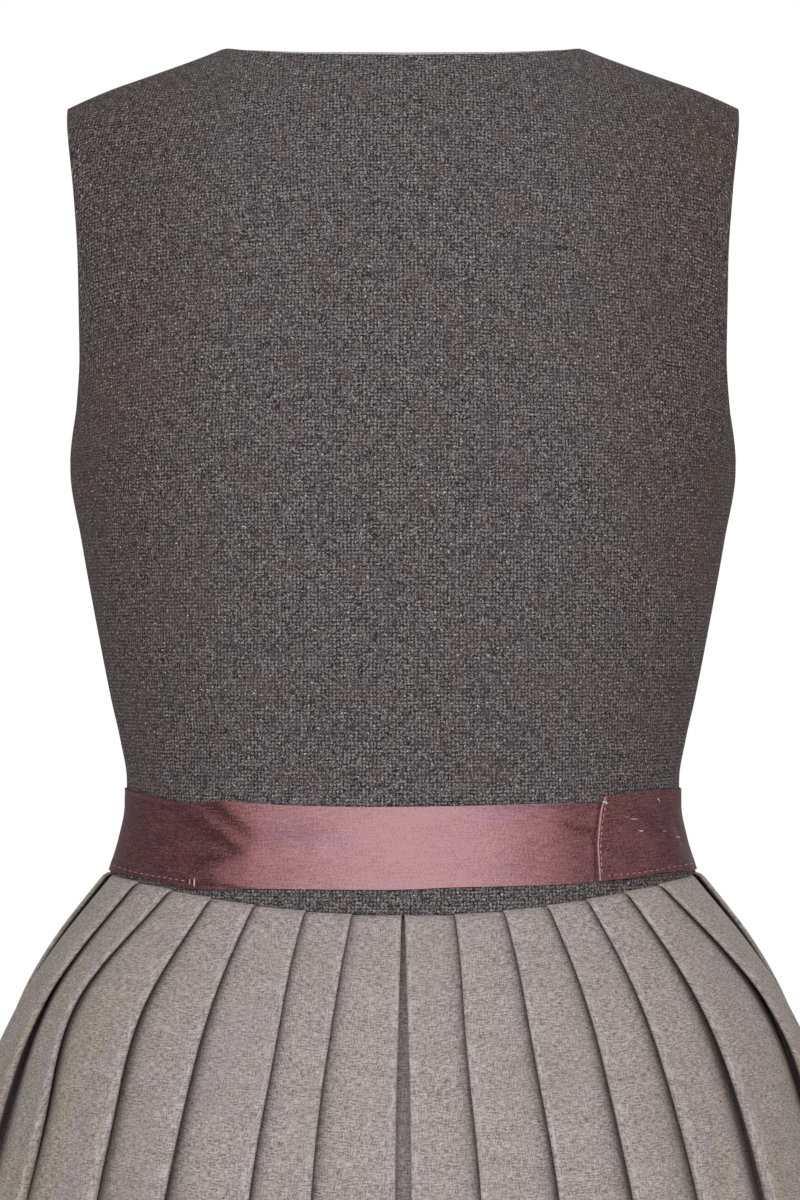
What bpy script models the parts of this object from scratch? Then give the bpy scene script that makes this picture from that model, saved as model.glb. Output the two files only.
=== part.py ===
"""Sleeveless wool dirndl: bodice, belt and pleated skirt, in the hollow form it has when worn.

Metres, +Z up. The front faces -Y and the wearer's left is at +X. The origin lies midway between
the shoulders, at the height where the straps rest on them.
"""

import math
from typing import NamedTuple

import bmesh
import bpy
import numpy as np

# Cloth walls, and the gaps between pieces
BODICE_WALL = 0.0015
SKIRT_WALL = 0.0010
BAND_WALL = 0.0012
RIBBON_WALL = 0.0010
FACING_WALL = 0.0010
SEAM_GAP = 0.0003
BELT_CLEARANCE = 0.0008

# Waist seam: level at the front and sides, dipping at the centre back
SEAM_Z = -0.3965
SEAM_DIP = 0.0148
SEAM_HALF_WIDTH = 0.1490
DIP_SHARPNESS = 1.2

# Shoulders: the cloth rolls forward over a ridge, which the shoulder seam follows
ROLL_HEIGHT = 0.110
NECK_SHARE = 0.5357

# Neckline facing
FACING_FROM = 1.80
FACING_LIP = 0.0010

# Belt
BELT_TOP_Z = -0.3550
BELT_BOTTOM_Z = -0.3950
BELT_TOP_DIP = 0.0053
BELT_BOTTOM_DIP = 0.0042
RIBBON_LEFT_X = 0.1000
BAND_END_X = -0.0950
RIBBON_LAP = 0.0180
BAND_RAMP = math.radians(8)
BELT_STEP = math.radians(5)

# Skirt
PLEATS_PER_SIDE = 14
FRONT_PLEATS = 5
FRONT_HALF = 0.0585
TOP_OVERLAP = 0.0280
PANEL_PARTS = 4
FRONT_PARTS = 4
UNDERLAY_PARTS = 6

# Bust
BUST_SPREAD = 0.076
BUST_Z = -0.218
BUST_FULLNESS = 0.015
BUST_WIDTH = 0.042
BUST_HEIGHT = 0.052

ROUND = math.radians(90)
EDGE_ANGLE = 0.02
SHARP_FROM = math.radians(40)
SAME = 1e-6


class HalfRow(NamedTuple):
    """One height of the bodice back or front: where its side edge lies, and its depth at the centre."""

    z: float
    edge_x: float
    edge_depth: float
    centre_depth: float
    flatness: float


BACK_ROWS = (
    HalfRow(-0.4120, 0.1500, 0.000, 0.1095, 1.0),
    HalfRow(-0.3965, 0.1462, 0.000, 0.1055, 1.0),
    HalfRow(-0.3800, 0.1411, 0.000, 0.1012, 1.0),
    HalfRow(-0.3630, 0.1380, 0.000, 0.0984, 1.0),
    HalfRow(-0.3510, 0.1380, 0.000, 0.0976, 1.0),
    HalfRow(-0.3310, 0.1412, 0.000, 0.0983, 1.0),
    HalfRow(-0.3110, 0.1457, 0.000, 0.0998, 1.0),
    HalfRow(-0.2710, 0.1535, 0.000, 0.1035, 1.0),
    HalfRow(-0.2310, 0.1607, 0.000, 0.1065, 1.0),
    HalfRow(-0.1960, 0.1662, 0.000, 0.1080, 1.0),
    HalfRow(-0.1900, 0.1654, 0.013, 0.1082, 1.05),
    HalfRow(-0.1800, 0.1637, 0.024, 0.1084, 1.15),
    HalfRow(-0.1650, 0.1610, 0.033, 0.1084, 1.30),
    HalfRow(-0.1400, 0.1591, 0.041, 0.1080, 1.55),
    HalfRow(-0.1000, 0.1596, 0.046, 0.1050, 1.80),
    HalfRow(-0.0600, 0.1624, 0.047, 0.0985, 2.0),
    HalfRow(-0.0200, 0.1671, 0.046, 0.0880, 2.0),
    HalfRow(0.0500, 0.1700, 0.044, 0.0700, 2.0),
)

FRONT_ROWS = (
    HalfRow(-0.4120, 0.1500, 0.000, 0.1110, 1.0),
    HalfRow(-0.3965, 0.1462, 0.000, 0.1075, 1.0),
    HalfRow(-0.3800, 0.1411, 0.000, 0.1042, 1.0),
    HalfRow(-0.3630, 0.1380, 0.000, 0.1022, 1.0),
    HalfRow(-0.3510, 0.1380, 0.000, 0.1020, 1.0),
    HalfRow(-0.3310, 0.1412, 0.000, 0.1044, 1.0),
    HalfRow(-0.3110, 0.1457, 0.000, 0.1085, 1.0),
    HalfRow(-0.2710, 0.1535, 0.000, 0.1180, 1.0),
    HalfRow(-0.2310, 0.1607, 0.000, 0.1230, 1.0),
    HalfRow(-0.1960, 0.1662, 0.000, 0.1215, 1.0),
    HalfRow(-0.1900, 0.1650, 0.014, 0.1210, 1.05),
    HalfRow(-0.1800, 0.1630, 0.026, 0.1200, 1.15),
    HalfRow(-0.1650, 0.1585, 0.036, 0.1180, 1.30),
    HalfRow(-0.1400, 0.1540, 0.045, 0.1130, 1.50),
    HalfRow(-0.1000, 0.1520, 0.050, 0.1040, 1.80),
    HalfRow(-0.0600, 0.1545, 0.050, 0.0950, 2.0),
    HalfRow(-0.0200, 0.1640, 0.046, 0.0860, 2.0),
    HalfRow(0.0500, 0.1700, 0.044, 0.0700, 2.0),
)


class EdgeRow(NamedTuple):
    """One point of an edge: its share of the way from the centre to the side, and its height."""

    share: float
    z: float


SHOULDER_RIDGE = (
    EdgeRow(0.00, 0.0460),
    EdgeRow(0.25, 0.0350),
    EdgeRow(0.44, 0.0215),
    EdgeRow(0.5357, 0.0140),
    EdgeRow(0.62, 0.0085),
    EdgeRow(0.75, 0.0008),
    EdgeRow(0.87, -0.0062),
    EdgeRow(0.94, -0.0110),
    EdgeRow(1.00, -0.0155),
)

BACK_NECKLINE = (
    EdgeRow(0.00, 0.0044),
    EdgeRow(0.27, 0.0063),
    EdgeRow(0.45, 0.0102),
    EdgeRow(0.5357, 0.0140),
)

FRONT_NECKLINE = (
    EdgeRow(0.00, -0.1500),
    EdgeRow(0.20, -0.1475),
    EdgeRow(0.34, -0.1400),
    EdgeRow(0.44, -0.1260),
    EdgeRow(0.50, -0.1080),
    EdgeRow(0.5357, -0.0850),
)


class SkirtRow(NamedTuple):
    """One level of the skirt, measured to the outside of its pleats.

    Attributes:
        z: Height at the side.
        half_width: From the centre to the side.
        back_depth: From the centre to the back.
        front_depth: From the centre to the front.
        dip: How much lower the level lies at the centre back.
        fold_height: From an inner fold out to an outer fold.
        layer_pitch: From one layer of a pleat to the next.
        belly: How far the middle of a pleat bulges out.
        centre_gap: Half the gap between the two folds that meet at the centre back.
        as_sewn: Share of each fold's sewn shift that shows here.
        as_hung: Share of each fold's hung shift that shows here.
    """

    z: float
    half_width: float
    back_depth: float
    front_depth: float
    dip: float
    fold_height: float
    layer_pitch: float
    belly: float
    centre_gap: float
    as_sewn: float
    as_hung: float


SKIRT_ROWS = (
    SkirtRow(-0.397, 0.1490, 0.1125, 0.1110, 0.0148, 0.0082, 0.00175, 0.0000, 0.0002, 1.00, 0.00),
    SkirtRow(-0.411, 0.1605, 0.1230, 0.1190, 0.0136, 0.0085, 0.00190, 0.0001, 0.0006, 0.85, 0.15),
    SkirtRow(-0.430, 0.1755, 0.1365, 0.1295, 0.0118, 0.0090, 0.00205, 0.0003, 0.0011, 0.60, 0.40),
    SkirtRow(-0.455, 0.1920, 0.1510, 0.1415, 0.0092, 0.0097, 0.00230, 0.0007, 0.0018, 0.25, 0.75),
    SkirtRow(-0.490, 0.2088, 0.1668, 0.1550, 0.0060, 0.0107, 0.00260, 0.0012, 0.0027, 0.00, 1.00),
    SkirtRow(-0.545, 0.2270, 0.1840, 0.1710, 0.0028, 0.0118, 0.00290, 0.0017, 0.0033, 0.00, 1.00),
    SkirtRow(-0.650, 0.2510, 0.2070, 0.1945, 0.0005, 0.0132, 0.00340, 0.0025, 0.0040, 0.00, 0.70),
    SkirtRow(-0.830, 0.2815, 0.2355, 0.2245, 0.0000, 0.0149, 0.00420, 0.0036, 0.0050, 0.00, 0.30),
    SkirtRow(-1.070, 0.3150, 0.2690, 0.2600, 0.0000, 0.0162, 0.00480, 0.0045, 0.0060, 0.00, 0.00),
)


class FoldRow(NamedTuple):
    """How far a fold lies from its even place, away from the centre back: as sewn, and as it hangs."""

    sewn: float
    hung: float


# From the fold beside the centre back outwards; the folds after these are evenly spaced.
LEFT_FOLDS = (
    FoldRow(0.0000, 0.0000),
    FoldRow(-0.0012, -0.0090),
    FoldRow(0.0007, -0.0048),
    FoldRow(-0.0004, -0.0043),
    FoldRow(-0.0010, 0.0024),
    FoldRow(0.0014, 0.0150),
    FoldRow(0.0008, 0.0100),
    FoldRow(0.0000, 0.0050),
)

RIGHT_FOLDS = (
    FoldRow(0.0000, -0.0065),
    FoldRow(0.0000, -0.0082),
    FoldRow(-0.0017, -0.0093),
    FoldRow(-0.0044, -0.0125),
    FoldRow(-0.0051, -0.0130),
    FoldRow(-0.0048, 0.0080),
    FoldRow(-0.0032, 0.0055),
    FoldRow(-0.0016, 0.0025),
)


class Curve:
    """A smooth curve through one column of a table, which never overshoots between two rows."""

    def __init__(self, rows, key, column):
        self.at = np.array([getattr(row, key) for row in rows])
        self.value = np.array([getattr(row, column) for row in rows])
        rise = np.diff(self.value) / np.diff(self.at)
        before, after = rise[:-1], rise[1:]
        same_way = before * after > 0
        mean = np.zeros_like(before)
        mean[same_way] = (
            2 * before[same_way] * after[same_way] / (before[same_way] + after[same_way])
        )
        self.slope = np.concatenate([rise[:1], mean, rise[-1:]])

    def __call__(self, at):
        at = np.clip(at, self.at[0], self.at[-1])
        i = np.clip(np.searchsorted(self.at, at) - 1, 0, len(self.at) - 2)
        width = self.at[i + 1] - self.at[i]
        f = (at - self.at[i]) / width
        return (
            self.value[i] * (1 + 2 * f) * (1 - f) ** 2
            + self.value[i + 1] * f**2 * (3 - 2 * f)
            + width * self.slope[i] * f * (1 - f) ** 2
            - width * self.slope[i + 1] * f**2 * (1 - f)
        )


class BodyHalf:
    """The rounded form under the bodice back or front, as curves read by height."""

    def __init__(self, rows, side):
        self.side = side
        self.edge_x = Curve(rows, "z", "edge_x")
        self.edge_depth = Curve(rows, "z", "edge_depth")
        self.centre_depth = Curve(rows, "z", "centre_depth")
        self.flatness = Curve(rows, "z", "flatness")

    def point(self, angle, z, roll):
        """A point on the form.

        Args:
            angle: Radians from the centre towards the side; past the side it goes on round.
            z: Height.
            roll: 1 on the upright part, falling to 0 at the shoulder ridge, negative beyond it.
        """
        share = math.sin(angle)
        across = math.copysign(abs(math.cos(angle)) ** self.flatness(z), math.cos(angle))
        edge = self.edge_depth(z)
        depth = edge + (self.centre_depth(z) - edge) * across
        x = self.edge_x(z) * share
        if self.side < 0:
            depth += bust_fullness(x, z)
        return np.array([x, self.side * depth * roll, z])


def bust_fullness(x, z):
    """How far the bust stands out from the front of the form."""
    across = (abs(x) - BUST_SPREAD) / BUST_WIDTH
    up = (z - BUST_Z) / BUST_HEIGHT
    return BUST_FULLNESS * math.exp(-(across**2) - up**2)


BACK = BodyHalf(BACK_ROWS, 1)
FRONT = BodyHalf(FRONT_ROWS, -1)
RIDGE_Z = Curve(SHOULDER_RIDGE, "share", "z")
BACK_NECK_Z = Curve(BACK_NECKLINE, "share", "z")
FRONT_NECK_Z = Curve(FRONT_NECKLINE, "share", "z")


def seam_z(x, behind):
    """Height of the waist seam."""
    share = min(1.0, abs(x) / SEAM_HALF_WIDTH)
    return SEAM_Z - (SEAM_DIP * (1 - share**2) ** DIP_SHARPNESS if behind else 0.0)


def roll_at(share, z):
    """How much of its depth the form keeps at a height, where the cloth rolls over the shoulder."""
    below_ridge = min(1.0, (RIDGE_Z(share) - z) / ROLL_HEIGHT)
    return math.sqrt(max(0.0, 1 - (1 - below_ridge) ** 2))


def rolled_point(half, angle, turn):
    """A point in the rolling zone, by its turn from the ridge: 0 on it, 90 degrees at its foot."""
    share = abs(math.sin(angle))
    z = RIDGE_Z(share) - ROLL_HEIGHT * (1 - math.cos(turn))
    return half.point(angle, z, math.sin(turn))


def turn_at(share, z):
    """The turn from the ridge at which the rolling zone has this height."""
    return math.acos(1 - min(1.0, max(0.0, (RIDGE_Z(share) - z) / ROLL_HEIGHT)))


def back_point(angle, up):
    """A point of the bodice back: up is 0 at the waist seam, 1 where the roll begins, 2 at the top."""
    share = abs(math.sin(angle))
    foot = RIDGE_Z(share) - ROLL_HEIGHT
    if up <= 1:
        bottom = seam_z(SEAM_HALF_WIDTH * share, True)
        return BACK.point(angle, bottom + (foot - bottom) * up, 1.0)
    top = turn_at(share, BACK_NECK_Z(share)) if share < NECK_SHARE else 0.0
    return rolled_point(BACK, angle, ROUND + (top - ROUND) * (up - 1))


def front_point(angle, up):
    """A point of a bodice front: up is 0 at the waist seam, 1 at the neckline, 2 at the shoulder."""
    share = abs(math.sin(angle))
    neck = FRONT_NECK_Z(share)
    if up <= 1:
        z = SEAM_Z + (neck - SEAM_Z) * up
        return FRONT.point(angle, z, roll_at(share, z))
    return rolled_point(FRONT, angle, turn_at(share, neck) * (2 - up))


def torso_point(angle, z):
    """A point on the form below the armholes, at any angle round it, from the centre back."""
    half = BACK if math.cos(angle) >= 0 else FRONT
    around = math.asin(max(-1.0, min(1.0, math.sin(angle))))
    return half.point(around, z, 1.0)


def facing_out(surface, u, v, step=1e-4):
    """Unit normal of a surface, on the side away from the Z axis or, on top of a shoulder, up."""
    along_u = surface(u + step, v) - surface(u - step, v)
    along_v = surface(u, v + step) - surface(u, v - step)
    normal = np.cross(along_u, along_v)
    normal /= np.linalg.norm(normal)
    here = surface(u, v)
    outward = np.array([here[0], here[1], 0.2 * ROLL_HEIGHT])
    return normal if normal @ outward > 0 else -normal


def layer(surface, angles, ups, offset):
    """A grid of points on a bodice surface, moved out along its normals. Rows follow ups."""
    widest = ROUND - EDGE_ANGLE
    rows = []
    for up in ups:
        row = []
        for angle in angles:
            inside = max(-widest, min(widest, angle))
            row.append(surface(angle, up) + offset * facing_out(surface, inside, up))
        rows.append(row)
    return np.array(rows)


def principled(name, colour, roughness):
    material = bpy.data.materials.new(name)
    material.use_nodes = True
    shader = material.node_tree.nodes["Principled BSDF"]
    shader.inputs["Base Color"].default_value = (*colour, 1.0)
    shader.inputs["Roughness"].default_value = roughness
    shader.inputs["Metallic"].default_value = 0.0
    material.diffuse_color = (*colour, 1.0)
    return material


def make_cloth(name, outer, inner, material, present=None):
    """One closed wall between two matching grids of points.

    Args:
        name: Name of the object.
        outer: Points of the outer face, by row and column.
        inner: Points of the inner face, matching outer.
        material: Material of the cloth.
        present: Which points the piece has, where it isn't a whole grid.
    """
    rows, columns = outer.shape[:2]
    if present is None:
        present = np.ones((rows, columns), bool)
    bm = bmesh.new()
    sides = []
    for points in (outer, inner):
        verts = {
            (i, j): bm.verts.new(points[i, j])
            for i in range(rows)
            for j in range(columns)
            if present[i, j]
        }
        sides.append(verts)
    edge_uses = {}
    for i in range(rows - 1):
        for j in range(columns - 1):
            corners = ((i, j), (i, j + 1), (i + 1, j + 1), (i + 1, j))
            if not all(corner in sides[0] for corner in corners):
                continue
            a, b, c, d = corners
            for triangle in ((a, b, c), (a, c, d)):
                bm.faces.new([sides[0][k] for k in triangle])
                bm.faces.new([sides[1][k] for k in reversed(triangle)])
            for edge in ((a, b), (b, c), (c, d), (d, a)):
                key = tuple(sorted(edge))
                edge_uses.setdefault(key, []).append(edge)
    for uses in edge_uses.values():
        if len(uses) > 1:
            continue
        a, b = uses[0]
        bm.faces.new((sides[0][b], sides[0][a], sides[1][a]))
        bm.faces.new((sides[0][b], sides[1][a], sides[1][b]))
    bmesh.ops.recalc_face_normals(bm, faces=bm.faces)
    mesh = bpy.data.meshes.new(name)
    bm.to_mesh(mesh)
    bm.free()
    mesh.shade_smooth()
    mesh.set_sharp_from_angle(angle=SHARP_FROM)
    mesh.materials.append(material)
    piece = bpy.data.objects.new(name, mesh)
    bpy.context.scene.collection.objects.link(piece)
    return piece


def spread(first, last, count):
    return list(np.linspace(first, last, count))


def back_columns():
    """Angles of the back panel's points, with one at each end of the neckline."""
    neck = math.asin(NECK_SHARE)
    half = spread(0, neck, 6) + spread(neck, ROUND, 8)[1:]
    return [-angle for angle in reversed(half[1:])] + half


def back_rows():
    """Heights of the back panel's points, closest at the waist, the armholes and the neck."""
    waist = spread(0, 0.18, 6)
    middle = [0.24, 0.33, 0.44, 0.55, 0.66, 0.72, 0.79, 0.88, 1.0]
    return waist + middle + [1.2, 1.4, 1.58, FACING_FROM, 1.91, 2.0]


def make_bodice_back(material):
    """The back panel, from the waist seam to the neckline and the shoulder seams."""
    outer = layer(back_point, back_columns(), back_rows(), 0.0)
    inner = layer(back_point, back_columns(), back_rows(), -BODICE_WALL)
    inner[0, :, 2] = outer[0, :, 2]
    for face in (outer, inner):
        face[:, :, 1] += SEAM_GAP / 2
    make_cloth("bodice_back", outer, inner, material)


def make_bodice_front(name, side, material):
    """A front panel, with a rounded neckline; the two meet edge to edge at the centre front."""
    neck = math.asin(NECK_SHARE)
    angles = spread(0, neck, 7) + spread(neck, ROUND, 9)[1:]
    ups = spread(0, 0.18, 6) + spread(0.25, 1, 9) + [1.2, 1.4, 1.6, 1.8, 1.92, 2.0]
    outer = layer(front_point, angles, ups, 0.0)
    inner = layer(front_point, angles, ups, -BODICE_WALL)
    inner[0, :, 2] = outer[0, :, 2]
    for face in (outer, inner):
        face[:, :, 0] += SEAM_GAP / 2
        face[:, :, 0] *= side
        face[:, :, 1] -= SEAM_GAP / 2
    angle, up = np.meshgrid(angles, ups)
    make_cloth(name, outer, inner, material, (up <= 1) | (angle > neck - SAME))


def make_neck_facing(material):
    """The light facing inside the back neckline; its edge stands a little above the wool."""
    neck = math.asin(NECK_SHARE)
    angles = [angle for angle in back_columns() if abs(angle) < neck + SAME]
    ups = [up for up in back_rows() if up >= FACING_FROM]
    faces = []
    for offset in (-BODICE_WALL - SEAM_GAP, -BODICE_WALL - SEAM_GAP - FACING_WALL):
        grid = layer(back_point, angles, ups, offset)
        rise = grid[-1] - grid[-2]
        rise /= np.linalg.norm(rise, axis=1)[:, None]
        grid = np.concatenate([grid, [grid[-1] + FACING_LIP * rise]])
        grid[:, :, 1] += SEAM_GAP / 2
        faces.append(grid)
    make_cloth("neck_facing_back", *faces, material)


def belt_grid(angles, offsets):
    """A strip round the waist; offsets gives its distance out from the bodice at each angle."""
    heights = (0.0, 0.36, 0.68, 1.0)

    def torso(angle, z):
        return torso_point(angle, z)

    grid = []
    for share in heights:
        row = []
        for angle, offset in zip(angles, offsets):
            behind = max(0.0, math.cos(angle)) ** 2
            bottom = BELT_BOTTOM_Z - BELT_BOTTOM_DIP * behind
            top = BELT_TOP_Z - BELT_TOP_DIP * behind
            z = bottom + (top - bottom) * share
            out = facing_out(torso, angle, z)
            out[2] = 0.0
            row.append(torso_point(angle, z) + offset * out / np.linalg.norm(out))
        grid.append(row)
    return np.array(grid)


def make_belt(band_material, ribbon_material):
    """The band round the sides and front, and the ribbon across the back between its two ends."""
    waist = BACK.edge_x((BELT_TOP_Z + BELT_BOTTOM_Z) / 2)
    left_join = math.asin(RIBBON_LEFT_X / waist)
    band_end = math.asin(BAND_END_X / waist)
    ribbon_end = math.asin((BAND_END_X - RIBBON_LAP) / waist)
    gap = SEAM_GAP / waist

    ribbon = spread(ribbon_end, left_join - gap / 2, 18)
    low = [BELT_CLEARANCE] * len(ribbon)
    high = [BELT_CLEARANCE + RIBBON_WALL] * len(ribbon)
    make_cloth("belt_ribbon", belt_grid(ribbon, high), belt_grid(ribbon, low), ribbon_material)

    round_front = math.tau + band_end
    steps = int((round_front - left_join) / BELT_STEP)
    lap_start = math.tau + ribbon_end
    ramp_start = lap_start - BAND_RAMP
    band = [a for a in spread(left_join + gap / 2, round_front, steps) if a < ramp_start]
    band += spread(ramp_start, lap_start - gap, 3) + spread(lap_start, round_front, 4)[1:]
    lifted = RIBBON_WALL + SEAM_GAP
    lifts = [lifted * min(1.0, max(0.0, (a - ramp_start) / (BAND_RAMP - gap))) for a in band]
    inside = [BELT_CLEARANCE + lift for lift in lifts]
    outside = [offset + BAND_WALL for offset in inside]
    make_cloth("belt_band", belt_grid(band, outside), belt_grid(band, inside), band_material)


class SkirtRing:
    """One level of the skirt: its base curve, inside the pleats, and the sizes of its pleats."""

    SAMPLES = 720

    def __init__(self, row, steepness):
        self.row = row
        self.wall = SKIRT_WALL * math.hypot(1.0, steepness)
        inset = row.fold_height + self.wall / 2
        self.width = row.half_width - inset
        self.back = row.back_depth - inset
        self.front = row.front_depth - inset
        self.angles = np.linspace(math.pi, 0.0, self.SAMPLES + 1)
        points = np.array([self.base(a)[:2] for a in self.angles])
        lengths = np.linalg.norm(np.diff(points, axis=0), axis=1)
        self.lengths = np.concatenate([[0.0], np.cumsum(lengths)])
        self.half_length = self.lengths[-1]
        self.last_edge = self.half_length - row.centre_gap - self.wall / math.sqrt(2)

    def base(self, angle):
        """A point of the base curve, by angle from the centre back."""
        depth = self.back if math.cos(angle) >= 0 else self.front
        x = self.width * math.sin(angle)
        share = min(1.0, abs(x) / self.width)
        behind = (1 - share**2) ** DIP_SHARPNESS if math.cos(angle) > 0 else 0.0
        return np.array([x, depth * math.cos(angle), self.row.z - self.row.dip * behind])

    def point(self, along, out):
        """A point by its way along the base curve from the centre front, and its way out from it."""
        half = self.half_length
        along = (along + half) % (2 * half) - half
        side = 1.0 if along >= 0 else -1.0
        angle = float(np.interp(abs(along), self.lengths, self.angles))
        depth = self.back if math.cos(angle) >= 0 else self.front
        normal = np.array([math.sin(angle) * depth, math.cos(angle) * self.width, 0.0])
        normal /= np.linalg.norm(normal)
        place = self.base(angle) + out * normal
        return place * (side, 1.0, 1.0)

    def path_length(self, pitch, overlap):
        """Cloth in one pleat, along its middle line."""
        panel = math.hypot(pitch + overlap, self.row.fold_height)
        back = math.hypot(overlap, self.row.fold_height - 2 * self.row.layer_pitch)
        turns = self.row.layer_pitch * (1 + math.sqrt(2))
        return panel + back + turns

    def overlap_for(self, pitch, cloth):
        """How far each pleat lies over the next, for the cloth that it holds."""
        least, most = 0.0, TOP_OVERLAP
        for _ in range(40):
            overlap = (least + most) / 2
            if self.path_length(pitch, overlap) > cloth:
                most = overlap
            else:
                least = overlap
        return overlap


class Pleats:
    """The pleats of one side at one level, counted from the side of the front panel, fold 0."""

    def __init__(self, ring, top, folds):
        """Lays out the folds.

        Args:
            ring: The level.
            top: The pleats of the top level, or None at that level itself.
            folds: Table of uneven folds, from the centre back.
        """
        spare = ring.last_edge - top.ring.last_edge if top else 0.0
        growth = spare / (PLEATS_PER_SIDE + 0.5)
        front_half = FRONT_HALF + growth / 2
        pitch = (ring.last_edge - front_half) / PLEATS_PER_SIDE
        self.ring = ring
        self.edges = [front_half + i * pitch for i in range(PLEATS_PER_SIDE + 1)]
        for i, fold in enumerate(folds, start=1):
            shift = fold.sewn * ring.row.as_sewn + fold.hung * ring.row.as_hung
            self.edges[-1 - i] -= shift
        self.widths = [pitch] + [b - a for a, b in zip(self.edges, self.edges[1:])]
        if top:
            self.cloth = top.cloth
            self.overlaps = [ring.overlap_for(w, c) for w, c in zip(self.widths, self.cloth)]
        else:
            self.cloth = [ring.path_length(width, TOP_OVERLAP) for width in self.widths]
            self.overlaps = [TOP_OVERLAP] * len(self.widths)

    def inner_fold(self, index):
        """Way along to the inner fold that lies under an outer fold."""
        return self.edges[index] - self.overlaps[index]


def skirt_levels(folds):
    """The pleats of one side at every level, from the waist seam to the hem."""
    levels = []
    for i, row in enumerate(SKIRT_ROWS):
        low = SKIRT_ROWS[min(i + 1, len(SKIRT_ROWS) - 1)]
        high = SKIRT_ROWS[max(i - 1, 0)]
        steepness = (low.half_width - high.half_width) / (high.z - low.z)
        levels.append(Pleats(SkirtRing(row, steepness), levels[0] if levels else None, folds))
    return levels


def panel_run(pleats, index):
    """The visible layer of a pleat, rising from an inner fold towards its outer fold."""
    row = pleats.ring.row
    start = pleats.inner_fold(index - 1)
    end = pleats.edges[index] - row.layer_pitch / 2
    for k in range(PANEL_PARTS):
        share = k / PANEL_PARTS
        out = row.fold_height * share + row.belly * math.sin(math.pi * share)
        yield start + (end - start) * share, out


def fold_and_return(pleats, index):
    """An outer fold and the hidden layer that goes back from it to the inner fold."""
    row = pleats.ring.row
    edge, inner_fold = pleats.edges[index], pleats.inner_fold(index)
    tip = row.layer_pitch / 2
    yield edge - tip, row.fold_height
    yield edge, row.fold_height - tip
    yield edge - tip, row.fold_height - row.layer_pitch
    yield (edge - tip + inner_fold) / 2, row.fold_height / 2
    yield inner_fold, row.layer_pitch


def seam_point(pleats, index, side):
    """Where a width of cloth ends, half-way round an inner fold: side is 1 above its seam, -1 below."""
    return pleats.inner_fold(index), (pleats.ring.row.layer_pitch + side * SEAM_GAP) / 2


def half_front_path(pleats):
    """From the centre front to the seam in the inner fold at the side."""
    top = pleats.ring.row.fold_height
    path = [(pleats.edges[0] * k / FRONT_PARTS, top) for k in range(FRONT_PARTS)]
    path += fold_and_return(pleats, 0)
    for index in range(1, FRONT_PLEATS + 1):
        path += panel_run(pleats, index)
        path += fold_and_return(pleats, index)
    return path + [seam_point(pleats, FRONT_PLEATS, 1)]


def half_back_path(pleats):
    """From the seam at the side to the last inner fold, before the centre back."""
    path = [seam_point(pleats, FRONT_PLEATS, -1)]
    for index in range(FRONT_PLEATS + 1, PLEATS_PER_SIDE + 1):
        path += panel_run(pleats, index)
        path += fold_and_return(pleats, index)
    return path


def mirrored(path):
    """The same path on the other side, in the order that keeps its left side outwards."""
    return [(-along, out) for along, out in reversed(path)]


def front_path(pleats):
    """The front width: the smooth front panel and the pleats on both sides of it."""
    half = half_front_path(pleats)
    return mirrored(half) + half[1:]


def left_back_path(pleats):
    """The left back width, up to the seam in its last inner fold."""
    return half_back_path(pleats) + [seam_point(pleats, PLEATS_PER_SIDE, 1)]


def right_back_path(pleats, left):
    """The right back width, which goes on behind the inverted pleat to the left one's last fold."""
    around = 2 * pleats.ring.half_length
    start = pleats.inner_fold(PLEATS_PER_SIDE)
    seam, out = seam_point(left, PLEATS_PER_SIDE, -1)
    width = around - seam - start
    behind = [(start + width * k / UNDERLAY_PARTS, 0.0) for k in range(UNDERLAY_PARTS + 1)]
    return mirrored(half_back_path(pleats) + behind + [(around - seam, out)])


def offset_path(path, distance):
    """A path moved to its left by a distance, with mitred corners."""
    points = np.array(path)
    ways = np.diff(points, axis=0)
    ways /= np.linalg.norm(ways, axis=1)[:, None]
    lefts = np.column_stack([-ways[:, 1], ways[:, 0]])
    before = np.vstack([lefts[:1], lefts])
    after = np.vstack([lefts, lefts[-1:]])
    mitres = (before + after) / (1 + np.sum(before * after, axis=1))[:, None]
    return points + distance * mitres


def make_skirt_piece(name, paths, material):
    """One width of the skirt, from its path along every level."""
    outer, inner = [], []
    for ring, path in paths:
        for rows, side in ((outer, 1), (inner, -1)):
            moved = offset_path(path, side * ring.wall / 2)
            rows.append([ring.point(along, out) for along, out in moved])
    make_cloth(name, np.array(outer), np.array(inner), material)


def make_skirt(material):
    """The three widths, joined in the inner folds at the sides and the centre back."""
    left, right = skirt_levels(LEFT_FOLDS), skirt_levels(RIGHT_FOLDS)
    front = [(level.ring, front_path(level)) for level in left]
    back_left = [(level.ring, left_back_path(level)) for level in left]
    back_right = [(level.ring, right_back_path(level, other)) for level, other in zip(right, left)]
    make_skirt_piece("skirt_front", front, material)
    make_skirt_piece("skirt_back_left", back_left, material)
    make_skirt_piece("skirt_back_right", back_right, material)


def main():
    for existing in list(bpy.data.objects):
        bpy.data.objects.remove(existing, do_unlink=True)
    wool = principled("bodice_hopsack_wool", (0.100, 0.088, 0.090), 0.92)
    flannel = principled("skirt_flannel_wool", (0.300, 0.270, 0.260), 0.95)
    taffeta = principled("belt_dark_taffeta", (0.110, 0.045, 0.050), 0.55)
    satin = principled("belt_ribbon_satin", (0.420, 0.250, 0.270), 0.45)
    cotton = principled("neck_facing_cotton", (0.450, 0.420, 0.400), 0.90)
    make_bodice_back(wool)
    make_bodice_front("bodice_front_left", 1, wool)
    make_bodice_front("bodice_front_right", -1, wool)
    make_neck_facing(cotton)
    make_belt(taffeta, satin)
    make_skirt(flannel)


main()
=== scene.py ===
"""Looks of a sleeveless wool dirndl in the hollow form it has when worn, seen from behind.

Metres, +Z up. The front faces -Y, the wearer's left is at +X, and the origin lies between the shoulders.
Every piece of cloth is a thin shell on the form of its solid, with a texture map in metres of cloth.
"""

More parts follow.
